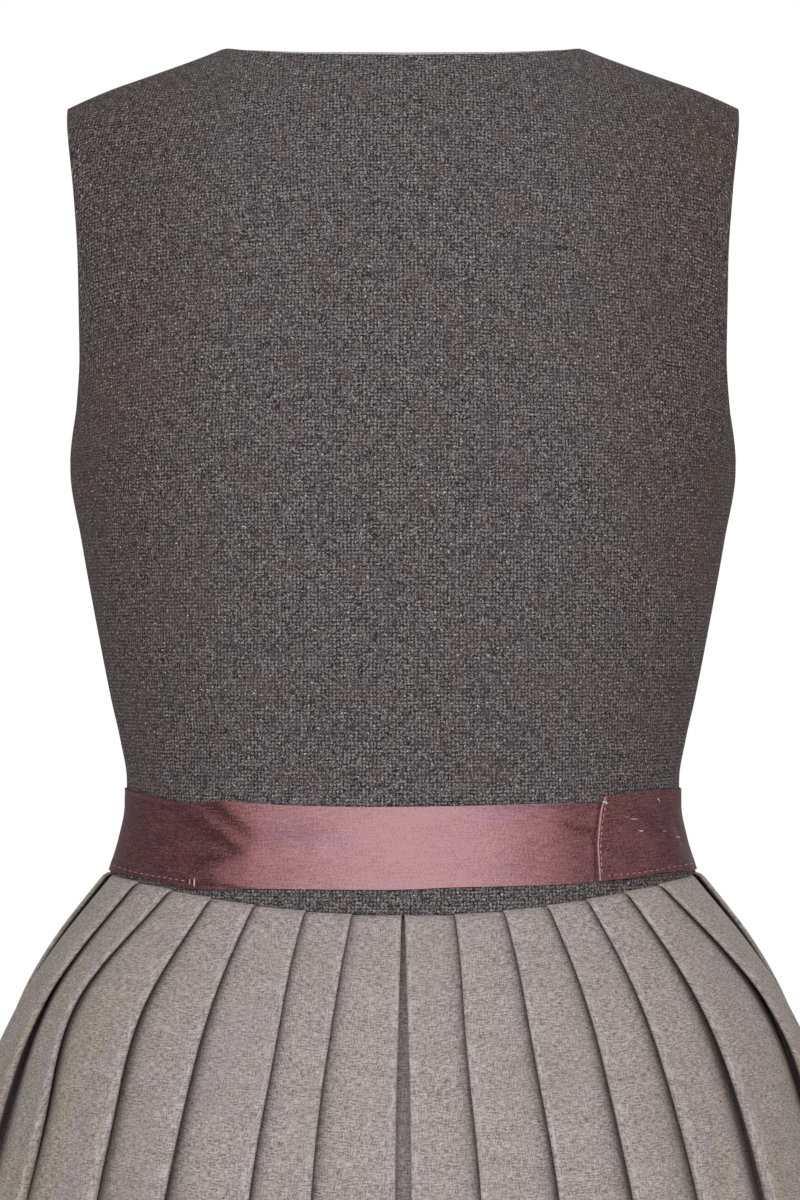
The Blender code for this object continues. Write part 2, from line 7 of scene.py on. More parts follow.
import logging
import math
from collections.abc import Callable, Sequence
from dataclasses import dataclass, field
from enum import Enum
from typing import Any, NamedTuple

import bpy
import numpy as np
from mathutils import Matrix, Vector

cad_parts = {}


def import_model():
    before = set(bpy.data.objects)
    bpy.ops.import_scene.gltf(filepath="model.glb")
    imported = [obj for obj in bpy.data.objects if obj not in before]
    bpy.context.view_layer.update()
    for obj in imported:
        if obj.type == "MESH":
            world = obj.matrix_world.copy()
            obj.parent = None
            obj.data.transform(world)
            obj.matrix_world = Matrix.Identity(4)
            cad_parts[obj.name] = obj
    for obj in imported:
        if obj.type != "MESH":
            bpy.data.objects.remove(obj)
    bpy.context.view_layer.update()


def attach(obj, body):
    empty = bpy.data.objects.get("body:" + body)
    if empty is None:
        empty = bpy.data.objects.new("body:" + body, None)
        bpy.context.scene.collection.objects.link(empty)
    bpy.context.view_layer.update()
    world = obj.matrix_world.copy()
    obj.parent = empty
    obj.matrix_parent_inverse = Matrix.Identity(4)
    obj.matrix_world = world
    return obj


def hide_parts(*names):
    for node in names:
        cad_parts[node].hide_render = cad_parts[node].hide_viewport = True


LOG = logging.getLogger("dirndl")
CLOTH_MAP = "cloth"
# Point mark of the shot silk: its plum-to-pink colour, with a painted sheen, painted highlights and painted shade in
# it.
TONE_AND_SHEEN = "tone"
# Point mark of the flannel: painted highlight where it is positive, painted shade where it is negative.
PAINTED_SHADING = "wear"
ROUND = math.radians(90)
Points = np.ndarray


# ---------------------------------------------------------------------------------------------
# The form under the cloth
# ---------------------------------------------------------------------------------------------


class BodyRow(NamedTuple):
    """One height of the bodice back or front: its side edge, its depth there and at the centre."""

    z: float
    edge_x: float
    edge_depth: float
    centre_depth: float
    flatness: float


BACK_ROWS = (
    BodyRow(-0.4120, 0.1500, 0.000, 0.1095, 1.0),
    BodyRow(-0.3965, 0.1462, 0.000, 0.1055, 1.0),
    BodyRow(-0.3800, 0.1411, 0.000, 0.1012, 1.0),
    BodyRow(-0.3630, 0.1380, 0.000, 0.0984, 1.0),
    BodyRow(-0.3510, 0.1380, 0.000, 0.0976, 1.0),
    BodyRow(-0.3310, 0.1412, 0.000, 0.0983, 1.0),
    BodyRow(-0.3110, 0.1457, 0.000, 0.0998, 1.0),
    BodyRow(-0.2710, 0.1535, 0.000, 0.1035, 1.0),
    BodyRow(-0.2310, 0.1607, 0.000, 0.1065, 1.0),
    BodyRow(-0.1960, 0.1662, 0.000, 0.1080, 1.0),
    BodyRow(-0.1900, 0.1654, 0.013, 0.1082, 1.05),
    BodyRow(-0.1800, 0.1637, 0.024, 0.1084, 1.15),
    BodyRow(-0.1650, 0.1610, 0.033, 0.1084, 1.30),
    BodyRow(-0.1400, 0.1591, 0.041, 0.1080, 1.55),
    BodyRow(-0.1000, 0.1596, 0.046, 0.1050, 1.80),
    BodyRow(-0.0600, 0.1624, 0.047, 0.0985, 2.0),
    BodyRow(-0.0200, 0.1671, 0.046, 0.0880, 2.0),
    BodyRow(0.0500, 0.1700, 0.044, 0.0700, 2.0),
)

FRONT_ROWS = (
    BodyRow(-0.4120, 0.1500, 0.000, 0.1110, 1.0),
    BodyRow(-0.3965, 0.1462, 0.000, 0.1075, 1.0),
    BodyRow(-0.3800, 0.1411, 0.000, 0.1042, 1.0),
    BodyRow(-0.3630, 0.1380, 0.000, 0.1022, 1.0),
    BodyRow(-0.3510, 0.1380, 0.000, 0.1020, 1.0),
    BodyRow(-0.3310, 0.1412, 0.000, 0.1044, 1.0),
    BodyRow(-0.3110, 0.1457, 0.000, 0.1085, 1.0),
    BodyRow(-0.2710, 0.1535, 0.000, 0.1180, 1.0),
    BodyRow(-0.2310, 0.1607, 0.000, 0.1230, 1.0),
    BodyRow(-0.1960, 0.1662, 0.000, 0.1215, 1.0),
    BodyRow(-0.1900, 0.1650, 0.014, 0.1210, 1.05),
    BodyRow(-0.1800, 0.1630, 0.026, 0.1200, 1.15),
    BodyRow(-0.1650, 0.1585, 0.036, 0.1180, 1.30),
    BodyRow(-0.1400, 0.1540, 0.045, 0.1130, 1.50),
    BodyRow(-0.1000, 0.1520, 0.050, 0.1040, 1.80),
    BodyRow(-0.0600, 0.1545, 0.050, 0.0950, 2.0),
    BodyRow(-0.0200, 0.1640, 0.046, 0.0860, 2.0),
    BodyRow(0.0500, 0.1700, 0.044, 0.0700, 2.0),
)


class EdgeRow(NamedTuple):
    """One point of an edge: its share of the way from the centre to the side, and its height."""

    share: float
    z: float


SHOULDER_RIDGE = (
    EdgeRow(0.00, 0.0460),
    EdgeRow(0.25, 0.0350),
    EdgeRow(0.44, 0.0215),
    EdgeRow(0.5357, 0.0140),
    EdgeRow(0.62, 0.0085),
    EdgeRow(0.75, 0.0008),
    EdgeRow(0.87, -0.0062),
    EdgeRow(0.94, -0.0110),
    EdgeRow(1.00, -0.0155),
)

BACK_NECKLINE = (
    EdgeRow(0.00, 0.0044),
    EdgeRow(0.27, 0.0063),
    EdgeRow(0.45, 0.0102),
    EdgeRow(0.5357, 0.0140),
)

FRONT_NECKLINE = (
    EdgeRow(0.00, -0.1500),
    EdgeRow(0.20, -0.1475),
    EdgeRow(0.34, -0.1400),
    EdgeRow(0.44, -0.1260),
    EdgeRow(0.50, -0.1080),
    EdgeRow(0.5357, -0.0850),
)


class Curve:
    """A smooth curve through two columns of a table, which never overshoots between two rows."""

    def __init__(self, rows: Sequence[NamedTuple], key: str, column: str) -> None:
        """Works out the slope at every row.

        Args:
            rows: The table, in rising or falling order of its key.
            key: Name of the column that is read along.
            column: Name of the column that is read out.
        """
        at = np.array([getattr(row, key) for row in rows], float)
        value = np.array([getattr(row, column) for row in rows], float)
        order = np.argsort(at)
        self.at, self.value = at[order], value[order]
        rise = np.diff(self.value) / np.diff(self.at)
        before, after = rise[:-1], rise[1:]
        product, total = before * after, before + after
        mean = np.divide(2 * product, total, out=np.zeros_like(total), where=product > 0)
        self.slope = np.concatenate([rise[:1], mean, rise[-1:]])

    def __call__(self, at: Any) -> Any:
        """The curve's value at one place or at an array of them."""
        at = np.clip(at, self.at[0], self.at[-1])
        i = np.clip(np.searchsorted(self.at, at) - 1, 0, len(self.at) - 2)
        width = self.at[i + 1] - self.at[i]
        f = (at - self.at[i]) / width
        return (
            self.value[i] * (1 + 2 * f) * (1 - f) ** 2
            + self.value[i + 1] * f**2 * (3 - 2 * f)
            + width * self.slope[i] * f * (1 - f) ** 2
            - width * self.slope[i + 1] * f**2 * (1 - f)
        )


@dataclass
class BodyHalf:
    """The rounded form under the bodice back or front.

    Attributes:
        rows: The half's table of heights.
        side: 1 for the back, -1 for the front.
    """

    rows: Sequence[BodyRow]
    side: float
    bust_spread: float = 0.076
    bust_z: float = -0.218
    bust_fullness: float = 0.015
    bust_width: float = 0.042
    bust_height: float = 0.052

    def __post_init__(self) -> None:
        """Makes the curves that are read by height."""
        self.edge_x = Curve(self.rows, "z", "edge_x")
        self.edge_depth = Curve(self.rows, "z", "edge_depth")
        self.centre_depth = Curve(self.rows, "z", "centre_depth")
        self.flatness = Curve(self.rows, "z", "flatness")

    def point(self, angle: Points, z: Points, roll: Points) -> Points:
        """Points on the form.

        Args:
            angle: Radians from the centre towards the side.
            z: Height.
            roll: 1 on the upright part, falling to 0 at the shoulder ridge.

        Returns:
            The points, with x, y and z along the last axis.
        """
        cosine = np.cos(angle)
        across = np.sign(cosine) * np.abs(cosine) ** self.flatness(z)
        edge = self.edge_depth(z)
        depth = edge + (self.centre_depth(z) - edge) * across
        x = self.edge_x(z) * np.sin(angle)
        if self.side < 0:
            aside = (np.abs(x) - self.bust_spread) / self.bust_width
            up = (z - self.bust_z) / self.bust_height
            depth = depth + self.bust_fullness * np.exp(-(aside**2) - up**2)
        return np.stack([x, self.side * depth * roll, z + 0 * x], axis=-1)


@dataclass
class Torso:
    """The general figure that the bodice and belt are fitted to."""

    seam_z: float = -0.3965
    seam_dip: float = 0.0148
    seam_half_width: float = 0.1490
    dip_sharpness: float = 1.2
    roll_height: float = 0.110
    neck_share: float = 0.5357
    edge_angle: float = 0.02
    back: BodyHalf = field(default_factory=lambda: BodyHalf(BACK_ROWS, 1.0))
    front: BodyHalf = field(default_factory=lambda: BodyHalf(FRONT_ROWS, -1.0))
    ridge: Curve = field(default_factory=lambda: Curve(SHOULDER_RIDGE, "share", "z"))
    back_neck: Curve = field(default_factory=lambda: Curve(BACK_NECKLINE, "share", "z"))
    front_neck: Curve = field(default_factory=lambda: Curve(FRONT_NECKLINE, "share", "z"))

    @property
    def neck_angle(self) -> float:
        """Angle of the neckline's corner, at the inner end of the shoulder."""
        return math.asin(self.neck_share)

    def dipped_seam(self, share: Points) -> Points:
        """Height of the waist seam behind, by share of the way from the centre to the side."""
        return self.seam_z - self.seam_dip * (1 - np.clip(share, 0, 1) ** 2) ** self.dip_sharpness

    def turn_at(self, share: Points, z: Points) -> Points:
        """The turn from the shoulder ridge at which the cloth has this height."""
        return np.arccos(1 - np.clip((self.ridge(share) - z) / self.roll_height, 0, 1))

    def back_point(self, angle: Points, up: Points) -> Points:
        """Points of the bodice back: up is 0 at the waist seam, 1 where the shoulder's roll begins, 2 on top."""
        share = np.abs(np.sin(angle))
        ridge = self.ridge(share)
        foot = ridge - self.roll_height
        bottom = self.dipped_seam(share)
        top = np.where(share < self.neck_share, self.turn_at(share, self.back_neck(share)), 0.0)
        turn = ROUND + (top - ROUND) * np.clip(up - 1, -1, 2)
        upright = up <= 1
        z = np.where(upright, bottom + (foot - bottom) * up, ridge - self.roll_height * (1 - np.cos(turn)))
        return self.back.point(angle, z, np.where(upright, 1.0, np.sin(turn)))

    def front_point(self, angle: Points, up: Points) -> Points:
        """Points of the bodice front: up is 0 at the waist seam, 1 at the neckline, 2 at the shoulder."""
        share = np.abs(np.sin(angle))
        neck = self.front_neck(share)
        low_z = self.seam_z + (neck - self.seam_z) * up
        below = np.clip((self.ridge(share) - low_z) / self.roll_height, 0, 1)
        turn = self.turn_at(share, neck) * (2 - up)
        low = up <= 1
        z = np.where(low, low_z, self.ridge(share) - self.roll_height * (1 - np.cos(turn)))
        roll = np.where(low, np.sqrt(1 - (1 - below) ** 2), np.sin(turn))
        return self.front.point(angle, z, roll)

    def waist_point(self, angle: Points, z: Points) -> Points:
        """Points on the form at any angle round it, from the centre back."""
        around = np.arcsin(np.clip(np.sin(angle), -1, 1))
        behind = self.back.point(around, z, 1.0)
        before = self.front.point(around, z, 1.0)
        return np.where((np.cos(angle) >= 0)[..., None], behind, before)


def facing_out(surface: Callable[[Points, Points], Points], u: Points, v: Points) -> Points:
    """Unit normals of a surface, on the side away from the Z axis or, on top of a shoulder, up.

    Args:
        surface: Gives points by two parameters.
        u: First parameter.
        v: Second parameter.

    Returns:
        The normals, in the shape of the surface's points.
    """
    step = 1e-4
    upwards = 0.022
    along_u = surface(u + step, v) - surface(u - step, v)
    along_v = surface(u, v + step) - surface(u, v - step)
    normal = np.cross(along_u, along_v)
    normal /= np.linalg.norm(normal, axis=-1, keepdims=True)
    here = surface(u, v)
    outward = np.sum(normal[..., :2] * here[..., :2], axis=-1) + upwards * normal[..., 2]
    return normal * np.where(outward < 0, -1.0, 1.0)[..., None]


def bump(x: Points, centre: float, width: float) -> Points:
    """A soft rise to 1 round a centre."""
    return np.exp(-(((x - centre) / width) ** 2))


def smooth(x: Points, low: float, high: float) -> Points:
    """0 below low, 1 above high, and a soft step between."""
    t = np.clip((x - low) / (high - low), 0, 1)
    return t * t * (3 - 2 * t)


class Crease(NamedTuple):
    """A soft trough or ridge between two points of a cloth, in metres along and up it.

    Attributes:
        start: One end.
        end: The other end.
        width: How wide it is.
        depth: How deep it is; negative for a ridge.
    """

    start: tuple[float, float]
    end: tuple[float, float]
    width: float
    depth: float

    def pull(self, across: Points, up: Points) -> Points:
        """How far the crease draws each point in.

        Args:
            across: Place across the cloth.
            up: Place up the cloth.

        Returns:
            The depth at each point.
        """
        start, end = np.array(self.start), np.array(self.end)
        way = end - start
        length = float(np.linalg.norm(way))
        way = way / length
        along = (across - start[0]) * way[0] + (up - start[1]) * way[1]
        aside = (across - start[0]) * way[1] - (up - start[1]) * way[0]
        fade = smooth(along, -0.35 * length, 0.25 * length) * (
            1 - smooth(along, 0.70 * length, 1.30 * length)
        )
        return self.depth * fade * np.exp(-((aside / self.width) ** 2))


def lengths_along(points: Points, axis: int) -> Points:
    """Length of cloth from the grid's first row or column to each point."""
    steps = np.linalg.norm(np.diff(points, axis=axis), axis=-1)
    first = np.zeros_like(np.take(steps, [0], axis=axis))
    return np.cumsum(np.concatenate([first, steps], axis=axis), axis=axis)


@dataclass
class Cloth:
    """One piece of cloth: a grid of points with its map, given a thickness.

    Attributes:
        name: Name of the piece.
        points: The grid, by row and column.
        cloth_map: Place in the cloth of each point, in metres.
        thickness: Thickness of the cloth.
        offset: -1 puts the thickness inside the grid, 0 on both sides of it.
        marks: Point attributes by name, such as the shot silk's colour with its painted sheen.
        present: Which points the piece has, where it isn't a whole grid.
        edge_round: How far the cloth's edges are rounded.
    """

    name: str
    points: Points
    cloth_map: Points
    thickness: float
    offset: float = -1.0
    marks: dict[str, Points] = field(default_factory=dict)
    present: Points | None = None
    edge_round: float = 0.0

    def build(self) -> bpy.types.Object:
        """Makes the mesh, faces outwards, and applies its thickness.

        Returns:
            The finished object.
        """
        rows, columns = self.points.shape[:2]
        index = np.arange(rows * columns).reshape(rows, columns)
        quads = np.stack([index[:-1, :-1], index[:-1, 1:], index[1:, 1:], index[1:, :-1]], axis=-1)
        if self.present is not None:
            here = self.present
            whole = here[:-1, :-1] & here[:-1, 1:] & here[1:, 1:] & here[1:, :-1]
            quads = quads[whole]
        quads = quads.reshape(-1, 4)
        used = np.unique(quads)
        renumber = np.zeros(rows * columns, int)
        renumber[used] = np.arange(len(used))
        places = self.points.reshape(-1, 3)[used]
        mesh = bpy.data.meshes.new(self.name)
        mesh.from_pydata(places.tolist(), [], renumber[quads].tolist())
        corner = np.zeros(len(mesh.loops), np.int32)
        mesh.loops.foreach_get("vertex_index", corner)
        layer = mesh.uv_layers.new(name=CLOTH_MAP)
        layer.data.foreach_set("uv", self.cloth_map.reshape(-1, 2)[used][corner].ravel())
        for mark, values in self.marks.items():
            attribute = mesh.attributes.new(mark, "FLOAT", "POINT")
            attribute.data.foreach_set("value", values.reshape(-1)[used].astype(np.float32))
        piece = bpy.data.objects.new(self.name, mesh)
        bpy.context.scene.collection.objects.link(piece)
        self._thicken(piece)
        return piece

    def _thicken(self, piece: bpy.types.Object) -> None:
        """Gives the sheet its thickness and rounded edges."""
        wall = piece.modifiers.new("thickness", "SOLIDIFY")
        wall.thickness = self.thickness
        wall.offset = self.offset
        wall.use_even_offset = False
        if self.edge_round > 0:
            edges = piece.modifiers.new("turned edges", "BEVEL")
            edges.width = self.edge_round
            edges.segments = 2
            edges.limit_method = "ANGLE"
            edges.angle_limit = math.radians(70)
        select_only(piece)
        for modifier in list(piece.modifiers):
            bpy.ops.object.modifier_apply(modifier=modifier.name)
        bpy.ops.object.shade_smooth_by_angle(angle=math.radians(50))


def select_only(piece: bpy.types.Object) -> None:
    """Selects one object and makes it the active one."""
    bpy.ops.object.select_all(action="DESELECT")
    piece.select_set(True)
    bpy.context.view_layer.objects.active = piece


# ---------------------------------------------------------------------------------------------
# Shaders
# ---------------------------------------------------------------------------------------------


class Value:
    """A socket of a shader. Python's operators on it add Math nodes."""

    def __init__(self, shader: "Shader", socket: bpy.types.NodeSocket) -> None:
        """Keeps the shader and its socket."""
        self.shader = shader
        self.socket = socket

    def math(self, operation: str, *others: "Value | float", first: "Value | float | None" = None) -> "Value":
        """Adds a Math node.

        Args:
            operation: The node's operation.
            others: Its further inputs.
            first: An input that goes before this value.

        Returns:
            The node's result.
        """
        given = ([] if first is None else [first]) + [self, *others]
        return self.shader.node("ShaderNodeMath", {"operation": operation}, dict(enumerate(given)))

    def __add__(self, other: "Value | float") -> "Value":
        """This plus other."""
        return self.math("ADD", other)

    __radd__ = __add__

    def __sub__(self, other: "Value | float") -> "Value":
        """This minus other."""
        return self.math("SUBTRACT", other)

    def __rsub__(self, other: float) -> "Value":
        """Other minus this."""
        return self.math("SUBTRACT", first=other)

    def __mul__(self, other: "Value | float") -> "Value":
        """This times other."""
        return self.math("MULTIPLY", other)

    __rmul__ = __mul__

    def __truediv__(self, other: "Value | float") -> "Value":
        """This over other."""
        return self.math("DIVIDE", other)

    def wave(self, period: float) -> "Value":
        """A sine of this value."""
        return (self * (math.tau / period)).math("SINE")

    def size(self) -> "Value":
        """This value without its sign."""
        return self.math("ABSOLUTE")

    def step(self, low: float, high: float) -> "Value":
        """0 below low, 1 above high, and a soft step between."""
        settings = {"interpolation_type": "SMOOTHSTEP"}
        given = {"Value": self, "From Min": low, "From Max": high}
        return self.shader.node("ShaderNodeMapRange", settings, given)


class Shader:
    """A material in the making, round one Principled BSDF."""

    def __init__(self, name: str, roughness: float) -> None:
        """Starts the material.

        Args:
            name: Name of the material.
            roughness: Its roughness, which a link may replace.
        """
        self.material = bpy.data.materials.new(name)
        self.material.use_nodes = True
        self.nodes = self.material.node_tree.nodes
        self.links = self.material.node_tree.links
        self.surface = self.nodes["Principled BSDF"]
        self.surface.inputs["Roughness"].default_value = roughness

    def node(
        self,
        kind: str,
        settings: dict[str, Any] | None = None,
        given: dict[str | int, Any] | None = None,
        output: str | int = 0,
    ) -> Value:
        """Adds a node.

        Args:
            kind: The node's type.
            settings: Its settings, set first; "stops" are a colour ramp's places and colours.
            given: Values or links of its sockets, by name or number.
            output: The output that is returned.

        Returns:
            The chosen output.
        """
        made = self.nodes.new(kind)
        for name, value in (settings or {}).items():
            if name == "stops":
                self._set_stops(made.color_ramp, value)
            else:
                setattr(made, name, value)
        for name, value in (given or {}).items():
            self.give(made.inputs[name], value)
        return Value(self, made.outputs[output])

    def _set_stops(self, ramp: bpy.types.ColorRamp, stops: Sequence[tuple[float, tuple]]) -> None:
        """Gives a ramp its stops."""
        while len(ramp.elements) < len(stops):
            ramp.elements.new(0.5)
        for element, (place, colour) in zip(ramp.elements, stops):
            element.position = place
            element.color = (*colour, 1.0)

    def give(self, socket: bpy.types.NodeSocket, value: Any) -> None:
        """Links or sets one socket."""
        if isinstance(value, Value):
            self.links.new(value.socket, socket)
        elif isinstance(value, tuple) and len(value) == 3 and len(socket.default_value) == 4:
            socket.default_value = (*value, 1.0)
        else:
            socket.default_value = value

    def cloth_place(self) -> tuple[Value, Value]:
        """Place across and along the cloth, in metres."""
        place = self.node("ShaderNodeUVMap", {"uv_map": CLOTH_MAP})
        across = self.node("ShaderNodeSeparateXYZ", given={0: place}, output="X")
        along = self.node("ShaderNodeSeparateXYZ", given={0: place}, output="Y")
        return across, along

    def mark(self, name: str) -> Value:
        """A point attribute of the piece."""
        settings = {"attribute_type": "GEOMETRY", "attribute_name": name}
        return self.node("ShaderNodeAttribute", settings, output="Fac")

    def body_place(self) -> Value:
        """Object coordinates."""
        return self.node("ShaderNodeTexCoord", output="Object")

    def noise(self, across: Value, along: Value, per_metre: tuple[float, float], detail: float = 2.0) -> Value:
        """Noise on the cloth, with its own scale across and along it.

        Args:
            across: Place across the cloth.
            along: Place along it.
            per_metre: Scale in each direction.
            detail: The noise's detail.

        Returns:
            Values round one half.
        """
        scaled = {0: across * per_metre[0], 1: along * per_metre[1]}
        place = self.node("ShaderNodeCombineXYZ", given=scaled)
        settings = {"noise_dimensions": "2D"}
        return self.node("ShaderNodeTexNoise", settings, {"Vector": place, "Scale": 1.0, "Detail": detail})

    def ramp(self, value: Value, stops: Sequence[tuple[float, tuple]]) -> Value:
        """A colour ramp."""
        return self.node("ShaderNodeValToRGB", {"stops": stops}, {"Fac": value})

    def mix(self, share: "Value | float", one: Any, other: Any, blend: str = "MIX") -> Value:
        """Mixes two colours: share 0 gives one, 1 the other.

        Args:
            share: How much of the other.
            one: A colour or a link.
            other: A colour or a link.
            blend: Blend mode.

        Returns:
            The mixed colour.
        """
        made = self.nodes.new("ShaderNodeMix")
        made.data_type = "RGBA"
        made.blend_type = blend
        self.give(made.inputs[0], share)
        self.give(made.inputs[6], one)
        self.give(made.inputs[7], other)
        return Value(self, made.outputs[2])

    def finish(self, colour: Any, height: Value | None, depth: float, **constants: float) -> bpy.types.Material:
        """Closes the material.

        Args:
            colour: Base colour, or its link.
            height: Height of the weave, 0 to 1.
            depth: What height 1 is, in metres.
            constants: Values of further sockets, with underscores for spaces.

        Returns:
            The material.
        """
        self.give(self.surface.inputs["Base Color"], colour)
        if height is not None:
            relief = self.node("ShaderNodeBump", given={"Height": height, "Distance": depth, "Strength": 1.0})
            self.give(self.surface.inputs["Normal"], relief)
        for name, value in constants.items():
            self.surface.inputs[name.replace("_", " ")].default_value = value
        return self.material


@dataclass(frozen=True)
class HopsackWool:
    """Dark grey melange hopsack: blocks of threads over and under, with white flecks, and painted shade that darkens
    it and turns it browner towards the sides.

    Attributes:
        repeat: Size of the weave's repeat, two blocks each way.
        relief: Height of its blocks.
    """

    repeat: float = 0.0036
    relief: float = 0.00030
    roughness: float = 0.95
    dark: tuple = (0.012, 0.011, 0.012)
    middle: tuple = (0.063, 0.055, 0.057)
    light: tuple = (0.250, 0.230, 0.232)
    brown: tuple = (0.105, 0.072, 0.058)
    wine: tuple = (0.105, 0.062, 0.068)
    blue: tuple = (0.058, 0.064, 0.074)
    fleck: tuple = (0.66, 0.64, 0.62)

    def build(self) -> bpy.types.Material:
        """Makes the material."""
        shader = Shader("hopsack_wool", self.roughness)
        across, along = shader.cloth_place()
        uneven = (shader.noise(across, along, (120.0, 150.0)) - 0.5) * 0.0011
        blocks = (across + uneven).wave(self.repeat) * (along + uneven).wave(self.repeat)
        over = blocks.step(-0.2, 0.2)
        warp = shader.noise(across, along, (1050.0, 400.0), 3.0)
        weft = shader.noise(across, along, (400.0, 1050.0), 3.0)
        speckle = shader.noise(across, along, (1300.0, 1300.0), 2.0)
        mottle = shader.noise(across, along, (170.0, 150.0), 2.0)
        thread = warp * over + weft * (1 - over)
        melange = thread * 0.54 + speckle * 0.46 + (blocks.size() - 0.40) * 0.13 + (mottle - 0.5) * 0.11
        colour = shader.ramp(melange, ((0.375, self.dark), (0.49, self.middle), (0.635, self.light)))
        tint = shader.noise(across, along, (62.0, 48.0), 3.0)
        colour = shader.mix(tint.step(0.52, 0.70) * 0.60, colour, shader.mix(0.45, colour, self.wine))
        colour = shader.mix(tint.step(0.48, 0.32) * 0.45, colour, shader.mix(0.45, colour, self.blue))
        side = shader.node("ShaderNodeSeparateXYZ", given={0: shader.body_place()}, output="X").size()
        sides = side.step(0.065, 0.160)
        patch = shader.noise(across, along, (15.0, 12.0), 3.0).step(0.54, 0.38) * (sides * 0.5 + 0.1)
        colour = shader.mix(patch, colour, shader.mix(0.5, colour, self.brown))
        # Painted shade: the bodice is darker and browner towards its sides.
        colour = shader.mix(sides, colour, shader.mix(1.0, colour, (0.84, 0.74, 0.70), "MULTIPLY"))
        flecks = shader.noise(across, along, (620.0, 820.0), 1.0).step(0.72, 0.77)
        colour = shader.mix(flecks * 0.6, colour, self.fleck)
        height = blocks.size() * 0.6 + thread * 0.4
        return shader.finish(
            colour, height, self.relief, Sheen_Weight=0.03, Sheen_Roughness=0.6, Specular_IOR_Level=0.06
        )


@dataclass(frozen=True)
class Flannel:
    """Grey-taupe flannel: a fine plain weave under a short nap, with dark flecks and faint patches. Its colour also
    holds painted highlights on fold edges, and painted shade by the folds and towards the sides.
    """

    repeat: float = 0.0013
    relief: float = 0.00016
    roughness: float = 0.95
    dark: tuple = (0.135, 0.116, 0.110)
    middle: tuple = (0.345, 0.294, 0.284)
    light: tuple = (0.560, 0.495, 0.480)
    beige: tuple = (0.300, 0.275, 0.225)
    rose: tuple = (0.320, 0.270, 0.272)
    fleck: tuple = (0.070, 0.058, 0.055)
    olive: tuple = (0.95, 0.96, 0.80)
    # Painted shade, multiplied in towards the sides.
    aside: tuple = (0.80, 0.78, 0.755)
    # Painted highlight on some fold edges.
    edge: tuple = (0.56, 0.52, 0.50)
    # Painted shade, multiplied in next to and under the folds.
    depths: tuple = (0.40, 0.38, 0.37)

    def build(self) -> bpy.types.Material:
        """Makes the material."""
        shader = Shader("wool_flannel", self.roughness)
        across, along = shader.cloth_place()
        weave = across.wave(self.repeat) * along.wave(self.repeat)
        lying = shader.noise(across, along, (270.0, 1300.0), 3.0)
        standing = shader.noise(across, along, (1300.0, 300.0), 3.0)
        nap = shader.noise(across, along, (1400.0, 1400.0), 2.0)
        cloud = shader.noise(across, along, (45.0, 150.0), 3.0)
        melange = lying * 0.34 + standing * 0.24 + nap * 0.34 + cloud * 0.08 + weave * 0.012
        colour = shader.ramp(melange, ((0.37, self.dark), (0.50, self.middle), (0.63, self.light)))
        patch = shader.noise(across, along, (20.0, 16.0), 3.0)
        colour = shader.mix(patch.step(0.50, 0.68) * 0.45, colour, shader.mix(0.5, colour, self.beige))
        colour = shader.mix(patch.step(0.48, 0.34) * 0.40, colour, shader.mix(0.5, colour, self.rose))
        side = shader.node("ShaderNodeSeparateXYZ", given={0: shader.body_place()}, output="X").size()
        upright = shader.noise(across, along, (110.0, 9.0), 3.0)
        olive = side.step(0.060, 0.200) * upright.step(0.45, 0.56) * 0.9
        colour = shader.mix(olive, colour, shader.mix(1.0, colour, self.olive, "MULTIPLY"))
        # Painted shade: the skirt is darker and a little warmer towards its sides.
        colour = shader.mix(side.step(0.10, 0.28) * 0.8, colour, shader.mix(1.0, colour, self.aside, "MULTIPLY"))
        flecks = shader.noise(across, along, (420.0, 700.0), 1.0).step(0.720, 0.770)
        colour = shader.mix(flecks * 0.55, colour, self.fleck)
        # Painted highlight on some fold edges where the mark is positive, and painted shade next to and under the
        # folds where it is negative.
        wear = shader.mark(PAINTED_SHADING)
        painted_edge_highlight = wear.step(0.0, 1.0) * shader.noise(across, along, (700.0, 130.0)).step(0.50, 0.66)
        colour = shader.mix(painted_edge_highlight * 0.45, colour, self.edge)
        deep = shader.mix(1.0, colour, self.depths, "MULTIPLY")
        colour = shader.mix((wear * -1).step(0.0, 1.0), colour, deep)
        height = nap * 0.6 + lying * 0.4 + weave * 0.1
        return shader.finish(
            colour, height, self.relief, Sheen_Weight=0.06, Sheen_Roughness=0.7, Specular_IOR_Level=0.06
        )


